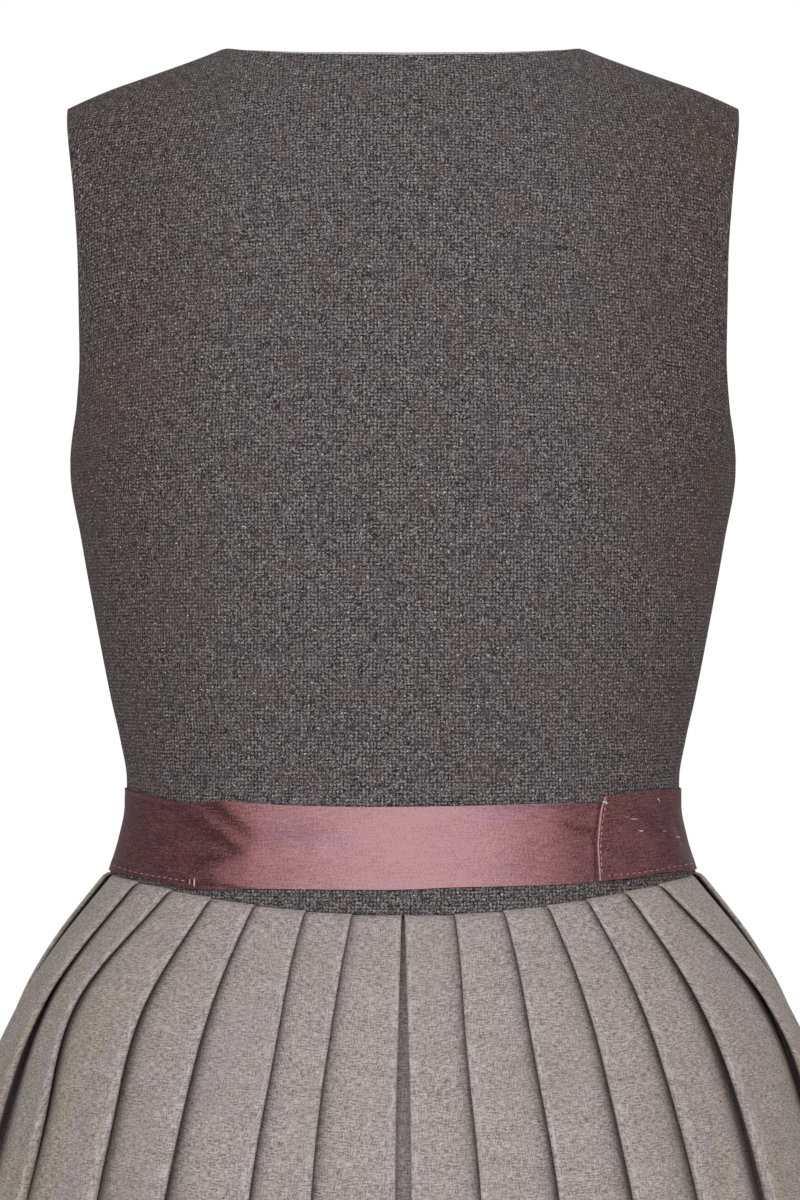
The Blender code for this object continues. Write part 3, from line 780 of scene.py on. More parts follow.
@dataclass(frozen=True)
class ShotTaffeta:
    """Shot silk: dark plum threads one way and dusty pink ones the other, with slubs. The point mark it reads also
    paints a pink sheen, highlights and shade into the colour.

    Attributes:
        name: Name of the material.
        plum: Colour where the tone is 0.
        pink: Colour where the tone is 1.
        roughness: Its roughness.
    """

    name: str
    plum: tuple = (0.052, 0.018, 0.020)
    rose: tuple = (0.245, 0.100, 0.106)
    pink: tuple = (0.490, 0.268, 0.284)
    roughness: float = 0.50
    thread: float = 0.0007
    relief: float = 0.00010

    def build(self) -> bpy.types.Material:
        """Makes the material."""
        shader = Shader(self.name, self.roughness)
        across, along = shader.cloth_place()
        slub = shader.noise(across, along, (120.0, 1300.0), 3.0)
        upright = shader.noise(across, along, (1300.0, 260.0), 3.0)
        fine = shader.noise(across, along, (1200.0, 1200.0), 2.0)
        cloud = shader.noise(across, along, (55.0, 90.0), 3.0)
        grain = (slub - 0.5) * 0.42 + (upright - 0.5) * 0.42 + (fine - 0.5) * 0.85
        # The point mark adds a painted sheen, painted highlights and painted shade to the silk's own plum and pink.
        tone = shader.mark(TONE_AND_SHEEN) + grain + (cloud - 0.5) * 0.16
        stops = ((0.0, self.plum), (0.45, self.rose), (1.0, self.pink))
        colour = shader.ramp(tone, stops)
        violet = shader.noise(across, along, (16.0, 30.0), 2.0).step(0.46, 0.66)
        cooler = shader.mix(1.0, colour, (0.94, 0.98, 1.12), "MULTIPLY")
        colour = shader.mix(violet * 0.8, colour, cooler)
        ribs = along.wave(self.thread) * 0.5 + across.wave(self.thread) * 0.3
        height = slub * 0.8 + ribs * 0.35
        return shader.finish(
            colour, height, self.relief, Sheen_Weight=0.03, Sheen_Roughness=0.35, Specular_IOR_Level=0.12
        )


@dataclass(frozen=True)
class PlainCotton:
    """Plain cotton or thread of one colour, with the fine uneven look of spun yarn."""

    name: str
    colour: tuple
    pale: tuple
    roughness: float = 0.85
    thread: float = 0.0006
    relief: float = 0.00008

    def build(self) -> bpy.types.Material:
        """Makes the material."""
        shader = Shader(self.name, self.roughness)
        place = shader.body_place()
        yarn = shader.node("ShaderNodeTexNoise", given={"Vector": place, "Scale": 900.0, "Detail": 3.0})
        colour = shader.mix(yarn.step(0.35, 0.65), self.colour, self.pale)
        return shader.finish(colour, yarn, self.relief, Specular_IOR_Level=0.2)


@dataclass(frozen=True)
class MattPaint:
    """The pale floor's paint."""

    colour: tuple = (0.86, 0.86, 0.86)

    def build(self) -> bpy.types.Material:
        """Makes the material."""
        shader = Shader("pale_floor", 0.9)
        drift = shader.node("ShaderNodeTexNoise", given={"Vector": shader.body_place(), "Scale": 3.0})
        return shader.finish(shader.mix(drift * 0.05, self.colour, (0.8, 0.8, 0.8)), None, 0.0)


@dataclass
class Finishes:
    """Every material of the dress."""

    hopsack: bpy.types.Material = field(default_factory=lambda: HopsackWool().build())
    flannel: bpy.types.Material = field(default_factory=lambda: Flannel().build())
    band: bpy.types.Material = field(
        default_factory=lambda: ShotTaffeta("plum_taffeta", roughness=0.55).build()
    )
    ribbon: bpy.types.Material = field(
        default_factory=lambda: ShotTaffeta("dusty_pink_taffeta", roughness=0.50).build()
    )
    facing: bpy.types.Material = field(
        default_factory=lambda: PlainCotton("facing_cotton", (0.36, 0.34, 0.32), (0.50, 0.48, 0.46)).build()
    )
    thread: bpy.types.Material = field(
        default_factory=lambda: PlainCotton("pink_thread", (0.46, 0.26, 0.25), (0.66, 0.44, 0.42)).build()
    )
    pale_thread: bpy.types.Material = field(
        default_factory=lambda: PlainCotton("pale_thread", (0.55, 0.38, 0.36), (0.80, 0.66, 0.62)).build()
    )


class Slot(Enum):
    """The record's material slots."""

    HOPSACK = "bodice_hopsack_wool"
    FLANNEL = "skirt_flannel_wool"
    BAND = "belt_dark_taffeta"
    RIBBON = "belt_ribbon_satin"
    FACING = "neck_facing_cotton"


def dress(piece: bpy.types.Object, material: bpy.types.Material, slot: Slot, *nodes: str) -> bpy.types.Object:
    """Gives a piece its material and places it in the part.

    Args:
        piece: The piece.
        material: Its material.
        slot: The record's slot of the piece's finish; not used.
        nodes: CAD nodes that it stands for.

    Returns:
        The piece.
    """
    piece.data.materials.append(material)
    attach(piece, "root")
    if nodes:
        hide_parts(*nodes)
    LOG.info("%s: %d faces", piece.name, len(piece.data.polygons))
    return piece


# ---------------------------------------------------------------------------------------------
# Bodice
# ---------------------------------------------------------------------------------------------

SEAM_GAP = 0.00005

BACK_CREASES = (
    Crease((0.1470, -0.2050), (0.1150, -0.2750), 0.0085, 0.0011),
    Crease((-0.1480, -0.2000), (-0.1180, -0.2650), 0.0090, 0.0010),
    Crease((0.1200, -0.3000), (0.0900, -0.3440), 0.0070, 0.0008),
    Crease((-0.1170, -0.2950), (-0.0950, -0.3430), 0.0075, 0.0009),
    Crease((0.0420, -0.2950), (0.0360, -0.3500), 0.0080, 0.0006),
    Crease((-0.0330, -0.3000), (-0.0300, -0.3520), 0.0070, 0.0006),
    Crease((0.1500, -0.0700), (0.0950, -0.1000), 0.0130, 0.0009),
    Crease((-0.1500, -0.0800), (-0.0900, -0.1080), 0.0120, 0.0008),
    Crease((0.0700, -0.0150), (-0.0600, -0.0180), 0.0120, -0.0007),
)

FRONT_CREASES = (
    Crease((0.1450, -0.2000), (0.1050, -0.2150), 0.0080, 0.0012),
    Crease((0.1350, -0.2650), (0.0950, -0.3250), 0.0090, 0.0011),
    Crease((0.0300, -0.2350), (0.0500, -0.2050), 0.0080, 0.0008),
    Crease((0.0450, -0.2900), (0.0380, -0.3450), 0.0090, 0.0008),
    Crease((0.1200, -0.0700), (0.1000, -0.1300), 0.0100, 0.0009),
)


@dataclass
class Bodice:
    """The smooth back panel, the two fronts and the light facing at the back of the neck."""

    torso: Torso
    finishes: Finishes
    wall: float = 0.0015
    facing_wall: float = 0.0009
    facing_from: float = 1.80
    facing_lip: float = 0.0032
    edge_round: float = 0.0004

    def build(self) -> None:
        """Makes the four pieces."""
        self._build_back()
        for name, side in (("left", 1.0), ("right", -1.0)):
            self._build_front(name, side)
        self._build_facing()

    def _half_angles(self) -> Points:
        """Angles from the centre to the side, with one at the neckline's corner."""
        neck = self.torso.neck_angle
        return np.concatenate([np.linspace(0, neck, 34), np.linspace(neck, ROUND, 38)[1:]])

    def _surface(self, surface: Callable, angles: Points, ups: Points, offset: float) -> tuple[Points, Points]:
        """Points on a half's form, moved out along its normals.

        Args:
            surface: The form of the half.
            angles: Angles of the columns.
            ups: Rows.
            offset: How far out.

        Returns:
            The points, and the normals there.
        """
        angle, up = np.meshgrid(angles, ups)
        widest = ROUND - self.torso.edge_angle
        normal = facing_out(surface, np.clip(angle, -widest, widest), up)
        return surface(angle, up) + offset * normal, normal

    def _crease(self, points: Points, normal: Points, creases: Sequence[Crease]) -> Points:
        """Draws in the creases, none at the waist seam."""
        x, z = points[..., 0], points[..., 2]
        pull = sum(crease.pull(x, z) for crease in creases) * smooth(z, -0.395, -0.365)
        return points - pull[..., None] * normal

    def _cloth_map(self, points: Points, centre: int) -> Points:
        """Threads that run level and upright at the centre of the panel."""
        across = lengths_along(points, 1)
        up = points[:1, :, 2] + lengths_along(points, 0)
        return np.stack([across - across[:, centre : centre + 1], up], axis=-1)

    def _build_back(self) -> None:
        """The back panel, from the waist seam to the neckline and the shoulder seams."""
        half = self._half_angles()
        angles = np.concatenate([half[::-1], -half[1:]])
        ups = np.concatenate([np.linspace(0, 1, 96), np.linspace(1, 2, 44)[1:]])
        points, normal = self._surface(self.torso.back_point, angles, ups, 0.0)
        points = self._crease(points, normal, BACK_CREASES)
        points[..., 1] += SEAM_GAP / 2
        cloth_map = self._cloth_map(points, len(half) - 1)
        cloth = Cloth("bodice_back_cloth", points, cloth_map, self.wall, edge_round=self.edge_round)
        piece = dress(cloth.build(), self.finishes.hopsack, Slot.HOPSACK, "bodice_back")

    def _build_front(self, name: str, side: float) -> None:
        """A front panel with a rounded neckline; the two meet edge to edge at the centre front."""
        angles = self._half_angles()
        ups = np.concatenate([np.linspace(0, 1, 96), np.linspace(1, 2, 34)[1:]])
        points, normal = self._surface(self.torso.front_point, angles, ups, 0.0)
        points = self._crease(points, normal, FRONT_CREASES)
        cloth_map = self._cloth_map(points, 0)
        present = (ups[:, None] <= 1) | (angles[None, :] > self.torso.neck_angle - 1e-6)
        points[..., 1] -= SEAM_GAP / 2
        points[..., 0] += SEAM_GAP / 2
        if side < 0:
            points, cloth_map, present = points[:, ::-1], cloth_map[:, ::-1], present[:, ::-1]
        points = points * (side, 1.0, 1.0)
        cloth = Cloth(
            f"bodice_front_{name}_cloth",
            points,
            cloth_map * (side, 1.0),
            self.wall,
            present=present,
            edge_round=self.edge_round,
        )
        node = f"bodice_front_{name}"
        piece = dress(cloth.build(), self.finishes.hopsack, Slot.HOPSACK, node)

    def _build_facing(self) -> None:
        """The facing inside the back neckline, whose edge stands a little above the wool."""
        neck = self.torso.neck_angle
        angles = np.linspace(neck, -neck, 70)
        ups = np.linspace(self.facing_from, 2.0, 14)
        points, _ = self._surface(self.torso.back_point, angles, ups, -self.wall - SEAM_GAP)
        rise = points[-1] - points[-2]
        rise /= np.linalg.norm(rise, axis=-1, keepdims=True)
        lip = points[-1:] + self.facing_lip * rise
        points = np.concatenate([points, lip])
        points[..., 1] += SEAM_GAP / 2
        cloth_map = self._cloth_map(points, len(angles) // 2)
        cloth = Cloth("neck_facing_cloth", points, cloth_map, self.facing_wall, edge_round=0.0002)
        piece = dress(cloth.build(), self.finishes.facing, Slot.FACING, "neck_facing_back")


# ---------------------------------------------------------------------------------------------
# Belt
# ---------------------------------------------------------------------------------------------

LEFT_TOP = (
    EdgeRow(-1.000, -0.3594),
    EdgeRow(-0.670, -0.3594),
    EdgeRow(-0.549, -0.3591),
    EdgeRow(-0.194, -0.3598),
    EdgeRow(0.129, -0.3603),
    EdgeRow(0.409, -0.3597),
    EdgeRow(0.625, -0.3583),
    EdgeRow(0.751, -0.3598),
    EdgeRow(0.904, -0.3568),
    EdgeRow(1.000, -0.3550),
)

RIGHT_TOP = (
    EdgeRow(-1.000, -0.3550),
    EdgeRow(-0.885, -0.3542),
    EdgeRow(-0.781, -0.3551),
    EdgeRow(-0.688, -0.3565),
    EdgeRow(-0.500, -0.3575),
)

BELT_BOTTOM = (
    EdgeRow(-1.000, -0.3950),
    EdgeRow(-0.864, -0.3943),
    EdgeRow(-0.729, -0.3961),
    EdgeRow(-0.647, -0.3966),
    EdgeRow(-0.513, -0.3978),
    EdgeRow(-0.181, -0.3983),
    EdgeRow(0.052, -0.3994),
    EdgeRow(0.401, -0.3995),
    EdgeRow(0.686, -0.4007),
    EdgeRow(0.801, -0.3981),
    EdgeRow(0.873, -0.3967),
    EdgeRow(1.000, -0.3955),
)


class EndRow(NamedTuple):
    """Where the band's folded end is, by share of the belt's height."""

    rise: float
    x: float


BAND_END = (
    EndRow(0.00, -0.0938),
    EndRow(0.40, -0.0930),
    EndRow(0.62, -0.0937),
    EndRow(0.84, -0.0950),
    EndRow(1.00, -0.0972),
)


class ToneRow(NamedTuple):
    """Colour value of the shot silk at one place across the back, painted sheen included."""

    x: float
    tone: float


# Painted sheen: the ribbon is pinkest at the centre back and darkens to plum as it turns away round the sides.
RIBBON_TONE_AND_SHEEN = (
    ToneRow(-0.1130, 0.25),
    ToneRow(-0.0915, 0.27),
    ToneRow(-0.0830, 0.31),
    ToneRow(-0.0756, 0.42),
    ToneRow(-0.0660, 0.56),
    ToneRow(-0.0540, 0.68),
    ToneRow(-0.0380, 0.86),
    ToneRow(-0.0226, 0.94),
    ToneRow(-0.0010, 1.00),
    ToneRow(0.0190, 0.92),
    ToneRow(0.0390, 0.80),
    ToneRow(0.0537, 0.69),
    ToneRow(0.0653, 0.62),
    ToneRow(0.0711, 0.57),
    ToneRow(0.0770, 0.49),
    ToneRow(0.0830, 0.40),
    ToneRow(0.0885, 0.29),
    ToneRow(0.0943, 0.17),
    ToneRow(0.1010, 0.11),
    ToneRow(0.1180, 0.08),
    ToneRow(0.1400, 0.05),
)

# Painted sheen: the band pales towards its folded end at the back.
BAND_TONE_AND_SHEEN = (
    ToneRow(-0.1480, 0.05),
    ToneRow(-0.1340, 0.09),
    ToneRow(-0.1200, 0.17),
    ToneRow(-0.0990, 0.21),
)


BELT_CREASES = (
    Crease((0.1382, -0.3564), (0.1170, -0.3612), 0.0012, 0.0007),
    Crease((0.1170, -0.3607), (0.1036, -0.3600), 0.0011, 0.0006),
    Crease((0.1443, -0.3880), (0.1155, -0.3926), 0.0012, 0.0006),
    Crease((0.1155, -0.3926), (0.1052, -0.3944), 0.0011, 0.0006),
    Crease((0.1155, -0.3657), (0.0755, -0.3809), 0.0020, 0.0009),
    Crease((0.0924, -0.3698), (0.0692, -0.3751), 0.0016, 0.0006),
    Crease((0.0755, -0.3809), (0.0861, -0.3858), 0.0018, 0.0006),
    Crease((-0.0743, -0.3686), (-0.0916, -0.3735), 0.0020, 0.0005),
    Crease((-0.1010, -0.3600), (-0.1250, -0.3640), 0.0022, 0.0005),
    Crease((-0.1330, -0.3700), (-0.1400, -0.3860), 0.0018, 0.0005),
)

# Streaks that darken the silk where their depth is positive and lighten it where negative. The strong dark ones are
# painted shade in the gathered creases at the left and beside the band's folded end; the light ones are painted
# highlight along crease ridges.
SHADE_AND_HIGHLIGHT_STREAKS = (
    Crease((-0.0964, -0.3555), (-0.0923, -0.3760), 0.0007, 0.24),
    Crease((-0.0923, -0.3760), (-0.0931, -0.3965), 0.0007, 0.24),
    Crease((0.1440, -0.3552), (0.1110, -0.3608), 0.0009, -0.07),
    Crease((0.1440, -0.3568), (0.1110, -0.3624), 0.0009, 0.05),
    Crease((0.1460, -0.3885), (0.1060, -0.3930), 0.0008, -0.05),
    Crease((-0.0743, -0.3686), (-0.0916, -0.3735), 0.0024, 0.14),
    Crease((0.1000, -0.3975), (0.0692, -0.4003), 0.0009, 0.35),
    Crease((0.0925, -0.3592), (0.0721, -0.3761), 0.0034, 0.32),
    Crease((0.1000, -0.3700), (0.0775, -0.3824), 0.0032, 0.34),
    Crease((0.0785, -0.3820), (0.0970, -0.3878), 0.0032, 0.20),
    Crease((0.0900, -0.3640), (0.0960, -0.3730), 0.0020, -0.10),
    Crease((0.0330, -0.3700), (0.0560, -0.3740), 0.0035, 0.08),
    Crease((-0.0300, -0.3900), (0.0300, -0.3915), 0.0040, 0.05),
    Crease((-0.0850, -0.3610), (-0.0200, -0.3600), 0.0016, 0.10),
    Crease((-0.1150, -0.3620), (-0.1300, -0.3800), 0.0030, 0.06),
)


@dataclass
class Belt:
    """The dark band round the sides and front, and the paler ribbon across the back.

    Attributes:
        torso: The figure it is fitted to.
        finishes: The materials.
        cloth: Thickness of its cloth as it is seen.
        ribbon_out: The ribbon's outer face, out from the bodice.
        band_out: The same of the band.
        lap_out: The same of the band where it lies over the ribbon.
        left_x: Where the band meets the ribbon.
        end_x: The band's folded end.
        lap: How far the ribbon runs on under the band.
        turned_under: How much of the band's end is folded under.
        fold: Radius of that fold.
        ramp: Angle over which the band rises on to the ribbon.
        front_top: Height of its top edge in front.
        front_bottom: Height of its bottom edge in front.
        plain_tone: Tone of the dark band.
        dark_tone: Tone of the dark stretch at the left.
        rim_tone: Painted highlight along the folded end.
    """

    torso: Torso
    finishes: Finishes
    cloth: float = 0.0005
    ribbon_out: float = 0.0011
    band_out: float = 0.0011
    lap_out: float = 0.0025
    left_x: float = 0.1000
    end_x: float = -0.0950
    lap: float = 0.0180
    turned_under: float = 0.0080
    fold: float = 0.00045
    ramp: float = math.radians(8)
    front_top: float = -0.3550
    front_bottom: float = -0.39525
    plain_tone: float = 0.16
    dark_tone: float = 0.03
    rim_tone: float = 0.90

    def __post_init__(self) -> None:
        """Makes the curves and the angles of the joins."""
        self.left_top = Curve(LEFT_TOP, "share", "z")
        self.right_top = Curve(RIGHT_TOP, "share", "z")
        self.bottom = Curve(BELT_BOTTOM, "share", "z")
        self.end_at = Curve(BAND_END, "rise", "x")
        self.tone_at = Curve(RIBBON_TONE_AND_SHEEN, "x", "tone")
        self.band_tone_at = Curve(BAND_TONE_AND_SHEEN, "x", "tone")
        self.waist = float(self.torso.back.edge_x(-0.375))
        self.left_join = math.asin(self.left_x / self.waist)
        self.ribbon_end = math.asin((self.end_x - self.lap) / self.waist)
        self.band_end = math.tau + math.asin(self.end_x / self.waist)

    def place(self, angle: Points, rise: Points, out: Points, band: bool) -> tuple[Points, Points]:
        """Points on the belt.

        Args:
            angle: Angle from the centre back.
            rise: Share of the belt's height.
            out: Distance out from the bodice.
            band: Whether it is the band and not the ribbon.

        Returns:
            The points, and the level outward normals there.
        """
        share = np.sin(angle)
        behind = np.cos(angle) > 0
        right = self.right_top(share) if band else self.left_top(share)
        back_top = np.where(share > 0, self.left_top(share), right)
        top = np.where(behind, back_top, self.front_top)
        front_bottom = self.front_bottom - 0.00025 * share
        bottom = np.where(behind, self.bottom(share), front_bottom)
        z = bottom + (top - bottom) * rise
        normal = facing_out(self.torso.waist_point, angle, z)
        normal[..., 2] = 0.0
        normal /= np.linalg.norm(normal, axis=-1, keepdims=True)
        points = self.torso.waist_point(angle, z)
        pull = sum(crease.pull(points[..., 0], z) for crease in BELT_CREASES)
        edges = np.clip(np.minimum(rise, 1 - rise) / 0.10, 0, 1)
        out = out - np.where(behind, pull * edges, 0.0)
        return points + out[..., None] * normal, normal

    def _tone(self, points: Points, band: bool) -> Points:
        """Colour value of the shot silk at each point, with its painted sheen and streaks of painted shade and
        painted highlight.
        """
        x, y, z = np.moveaxis(points, -1, 0)
        ribbon = self.tone_at(x) - sum(streak.pull(x, z) for streak in SHADE_AND_HIGHLIGHT_STREAKS)
        ribbon = np.maximum(ribbon, self.dark_tone)
        if not band:
            return ribbon
        behind = np.where(x > 0, ribbon, self.band_tone_at(x) - SHADE_AND_HIGHLIGHT_STREAKS[-1].pull(x, z))
        return self.plain_tone + (behind - self.plain_tone) * smooth(y, -0.02, 0.03)

    def _cloth_map(self, points: Points) -> Points:
        """Place along and up the belt."""
        return np.stack([lengths_along(points, 1), lengths_along(points, 0)], axis=-1)

    def build(self) -> None:
        """Makes the ribbon and the band."""
        self._build_ribbon()
        self._build_band()

    def _build_ribbon(self) -> None:
        """The ribbon across the back, whose right end lies under the band."""
        angles = np.linspace(self.left_join, self.ribbon_end, 260)
        angle, rise = np.meshgrid(angles, np.linspace(0, 1, 44))
        points, _ = self.place(angle, rise, np.full_like(angle, self.ribbon_out), False)
        marks = {TONE_AND_SHEEN: self._tone(points, False)}
        cloth = Cloth("belt_ribbon_cloth", points, self._cloth_map(points), self.cloth, marks=marks)
        piece = dress(cloth.build(), self.finishes.ribbon, Slot.RIBBON, "belt_ribbon")

    def _build_band(self) -> None:
        """The band, from its folded end at the right back round the front to the ribbon's left end."""
        middle = self.cloth / 2
        high, turn = self.lap_out - middle, self.fold
        tip = self.band_end - turn / self.waist
        under = np.linspace(tip - self.turned_under / self.waist, tip, 6)
        bend = np.linspace(-ROUND, ROUND, 9)[1:-1]
        ramp_end = math.tau + self.ribbon_end
        over = np.linspace(tip, ramp_end - self.ramp, 60)
        round_front = np.linspace(ramp_end - self.ramp, self.left_join, 420)[1:]
        flat = np.concatenate([over, round_front])
        lift = smooth(flat, ramp_end - self.ramp, ramp_end)
        angles = np.concatenate([under, tip + turn * np.cos(bend) / self.waist, flat])
        outs = np.concatenate([
            np.full(len(under), high - 2 * turn),
            high - turn + turn * np.sin(bend),
            self.band_out - middle + (self.lap_out - self.band_out) * lift,
        ])
        angle, rise = np.meshgrid(angles, np.linspace(0, 1, 44))
        out = np.broadcast_to(outs, angle.shape)
        height = self.front_bottom + (self.front_top - self.front_bottom) * rise
        end = math.tau + np.arcsin(self.end_at(rise) / self.torso.back.edge_x(height))
        angle = angle + (end - self.band_end) * bump(angle, self.band_end, 0.22)
        points, _ = self.place(angle, rise, out, True)
        tone = self._tone(points, True)
        # Painted highlight: a pale pink rim along the band's folded end.
        highlit_rim = np.zeros(len(angles))
        highlit_rim[len(under) - 1 : len(under) + len(bend)] = 1.0
        tone = tone + (self.rim_tone - tone) * highlit_rim
        cloth = Cloth(
            "belt_band_cloth", points, self._cloth_map(points), self.cloth, offset=0.0, marks={TONE_AND_SHEEN: tone}
        )
        piece = dress(cloth.build(), self.finishes.band, Slot.BAND, "belt_band")


class Seam(NamedTuple):
    """A row of stitches on the belt, through points given by x and z behind.

    Attributes:
        points: The points of the row.
        length: Length of a stitch.
        gap: Gap to the next one.
        width: Width of the thread.
        pale: Whether the thread is the paler one.
    """

    points: tuple[tuple[float, float], ...]
    length: float = 0.0018
    gap: float = 0.0012
    width: float = 0.00028
    pale: bool = False


END_SEAM = Seam(((-0.0972, -0.3583), (-0.0950, -0.3700), (-0.0942, -0.3820), (-0.0949, -0.3940)), width=0.00038)
RIGHT_HEM = Seam(((-0.0960, -0.3951), (-0.1137, -0.3942), (-0.1342, -0.3924), (-0.1425, -0.3921)))
LEFT_HEM = Seam(((0.1440, -0.3926), (0.1300, -0.3948), (0.1040, -0.3975)))
LEFT_TACKS = (
    Seam(((0.1026, -0.3962), (0.1026, -0.3992)), length=0.0028, gap=0.001, width=0.0006),
    Seam(((0.1003, -0.3955), (0.1004, -0.4002)), length=0.0042, gap=0.001, width=0.0007, pale=True),
)
KNOT = (
    Seam(((-0.0950, -0.3588), (-0.0972, -0.3596)), length=0.0020, gap=0.001, width=0.0009, pale=True),
    Seam(((-0.0965, -0.3584), (-0.0978, -0.3604)), length=0.0018, gap=0.001, width=0.0008, pale=True),
)
SLUBS = (
    Seam(((-0.1085, -0.3679), (-0.1132, -0.3683)), length=0.0042, gap=0.001, width=0.00035, pale=True),
    Seam(((-0.1128, -0.3740), (-0.1156, -0.3743)), length=0.0024, gap=0.001, width=0.0006, pale=True),
    Seam(((-0.1322, -0.3782), (-0.1346, -0.3787)), length=0.0022, gap=0.001, width=0.0005, pale=True),
    Seam(((-0.1225, -0.3580), (-0.1240, -0.3600)), length=0.0022, gap=0.001, width=0.0005, pale=True),
    Seam(((-0.1060, -0.3668), (-0.1085, -0.3669)), length=0.0022, gap=0.001, width=0.0003),
    Seam(((-0.1245, -0.3748), (-0.1275, -0.3751)), length=0.0026, gap=0.001, width=0.0003),
)


@dataclass
class Stitching:
    """Stitches and slubs that stand on the belt."""

    belt: Belt
    finishes: Finishes
    stand_out: float = 0.0001

    def build(self) -> None:
        """Makes every row."""
        rows = {"end_stitches": (END_SEAM,), "right_hem_stitches": (RIGHT_HEM,), "left_hem_stitches": (LEFT_HEM,)}
        rows |= {"left_tack": LEFT_TACKS[:1], "left_thread": LEFT_TACKS[1:]}
        rows |= {"thread_knot": KNOT, "pale_slubs": SLUBS[:4], "pink_slubs": SLUBS[4:]}
        for name, seams in rows.items():
            stitches = [stitch for seam in seams for stitch in self._row(seam)]
            select_only(stitches[0])
            for stitch in stitches[1:]:
                stitch.select_set(True)
            bpy.ops.object.join()
            piece = bpy.context.object
            piece.name = name
            thread = self.finishes.pale_thread if seams[0].pale else self.finishes.thread
            dress(piece, thread, Slot.BAND)

    def _on_belt(self, x: float, z: float) -> tuple[Vector, Vector]:
        """The point and the normal of the belt's face at a place behind."""
        belt = self.belt
        out = belt.lap_out if x < -0.09 else belt.band_out
        angle = math.asin(max(-1.0, min(1.0, x / float(belt.torso.back.edge_x(z)))))
        normal = facing_out(belt.torso.waist_point, np.array(angle), np.array(z))
        point = belt.torso.waist_point(np.array(angle), np.array(z)) + (out + self.stand_out) * normal
        return Vector(point), Vector(normal)

    def _row(self, seam: Seam) -> list[bpy.types.Object]:
        """The stitches of one row."""
        line = np.array(seam.points)
        lengths = np.concatenate([[0.0], np.cumsum(np.linalg.norm(np.diff(line, axis=0), axis=1))])
        count = max(1, int((lengths[-1] + seam.gap) / (seam.length + seam.gap)))
        stitches = []
        for i in range(count):
            start = (lengths[-1] - count * (seam.length + seam.gap) + seam.gap) / 2
            start += i * (seam.length + seam.gap)
            ends = []
            for at in (start, start + seam.length):
                x, z = (float(np.interp(at, lengths, line[:, k])) for k in (0, 1))
                ends.append(self._on_belt(x, z))
            stitches.append(self._stitch(ends[0][0], ends[1][0], ends[0][1], seam.width))
        return stitches

    def _stitch(self, start: Vector, end: Vector, normal: Vector, width: float) -> bpy.types.Object:
        """One stitch of thread between two points."""
        bpy.ops.mesh.primitive_uv_sphere_add(segments=10, ring_count=8, radius=0.5, location=(start + end) / 2)
        stitch = bpy.context.object
        along = (end - start).normalized()
        stitch.rotation_mode = "QUATERNION"
        stitch.rotation_quaternion = along.to_track_quat("X", "Z")
        stitch.scale = ((end - start).length, width, width)
        bpy.ops.object.transform_apply(location=False, rotation=True, scale=True)
        bpy.ops.object.shade_smooth()
        return stitch


# ---------------------------------------------------------------------------------------------
# Skirt
# ---------------------------------------------------------------------------------------------


class SkirtRow(NamedTuple):
    """One height of the skirt.

    Attributes:
        z: Height.
        half_width: To the tips of the pleats at the side.
        back_depth: To the tips behind.
        front_depth: To the tips in front.
        dip: How much lower the middle of the back is.
        fold_height: Height of a pleat over the base curve.
        layer_pitch: From one layer of a pleat to the next.
        belly: How far a pleat's face rounds out.
        centre_gap: Half the opening of the inverted pleat behind.
        as_sewn: Share of the uneven folds' first shift.
        as_hung: Share of their second shift.
    """

    z: float
    half_width: float
    back_depth: float
    front_depth: float
    dip: float
    fold_height: float
    layer_pitch: float
    belly: float
    centre_gap: float
    as_sewn: float
    as_hung: float


SKIRT_ROWS = (
    SkirtRow(-0.397, 0.1490, 0.1125, 0.1110, 0.0148, 0.0082, 0.00175, 0.0000, 0.0002, 1.00, 0.00),
    SkirtRow(-0.411, 0.1605, 0.1230, 0.1190, 0.0136, 0.0085, 0.00190, 0.0001, 0.0006, 0.85, 0.15),
    SkirtRow(-0.430, 0.1755, 0.1365, 0.1295, 0.0118, 0.0090, 0.00205, 0.0003, 0.0011, 0.60, 0.40),
    SkirtRow(-0.455, 0.1920, 0.1510, 0.1415, 0.0092, 0.0097, 0.00230, 0.0007, 0.0018, 0.25, 0.75),
    SkirtRow(-0.490, 0.2088, 0.1668, 0.1550, 0.0060, 0.0107, 0.00260, 0.0012, 0.0027, 0.00, 1.00),
    SkirtRow(-0.545, 0.2270, 0.1840, 0.1710, 0.0028, 0.0118, 0.00290, 0.0017, 0.0033, 0.00, 1.00),
    SkirtRow(-0.650, 0.2510, 0.2070, 0.1945, 0.0005, 0.0132, 0.00340, 0.0025, 0.0040, 0.00, 0.70),
    SkirtRow(-0.830, 0.2815, 0.2355, 0.2245, 0.0000, 0.0149, 0.00420, 0.0036, 0.0050, 0.00, 0.30),
    SkirtRow(-1.070, 0.3150, 0.2690, 0.2600, 0.0000, 0.0162, 0.00480, 0.0045, 0.0060, 0.00, 0.00),
)


class FoldRow(NamedTuple):
    """How far a fold lies from its even place, towards the centre front.

    Attributes:
        sewn: At the waist seam.
        hung: Where the pleats hang.
        low: Where they begin to hang.
    """

    sewn: float
    hung: float
    low: float = 0.0


LEFT_FOLDS = (
    FoldRow(0.0000, 0.0000),
    FoldRow(-0.0012, -0.0090),
    FoldRow(0.0007, -0.0048),
    FoldRow(-0.0004, -0.0056, 0.0050),
    FoldRow(-0.0004, 0.0024, 0.0110),
    FoldRow(0.0030, 0.0070, 0.0010),
    FoldRow(0.0310, 0.0580),
    FoldRow(0.0235, 0.0430),
    FoldRow(0.0155, 0.0285),
    FoldRow(0.0078, 0.0140),
)

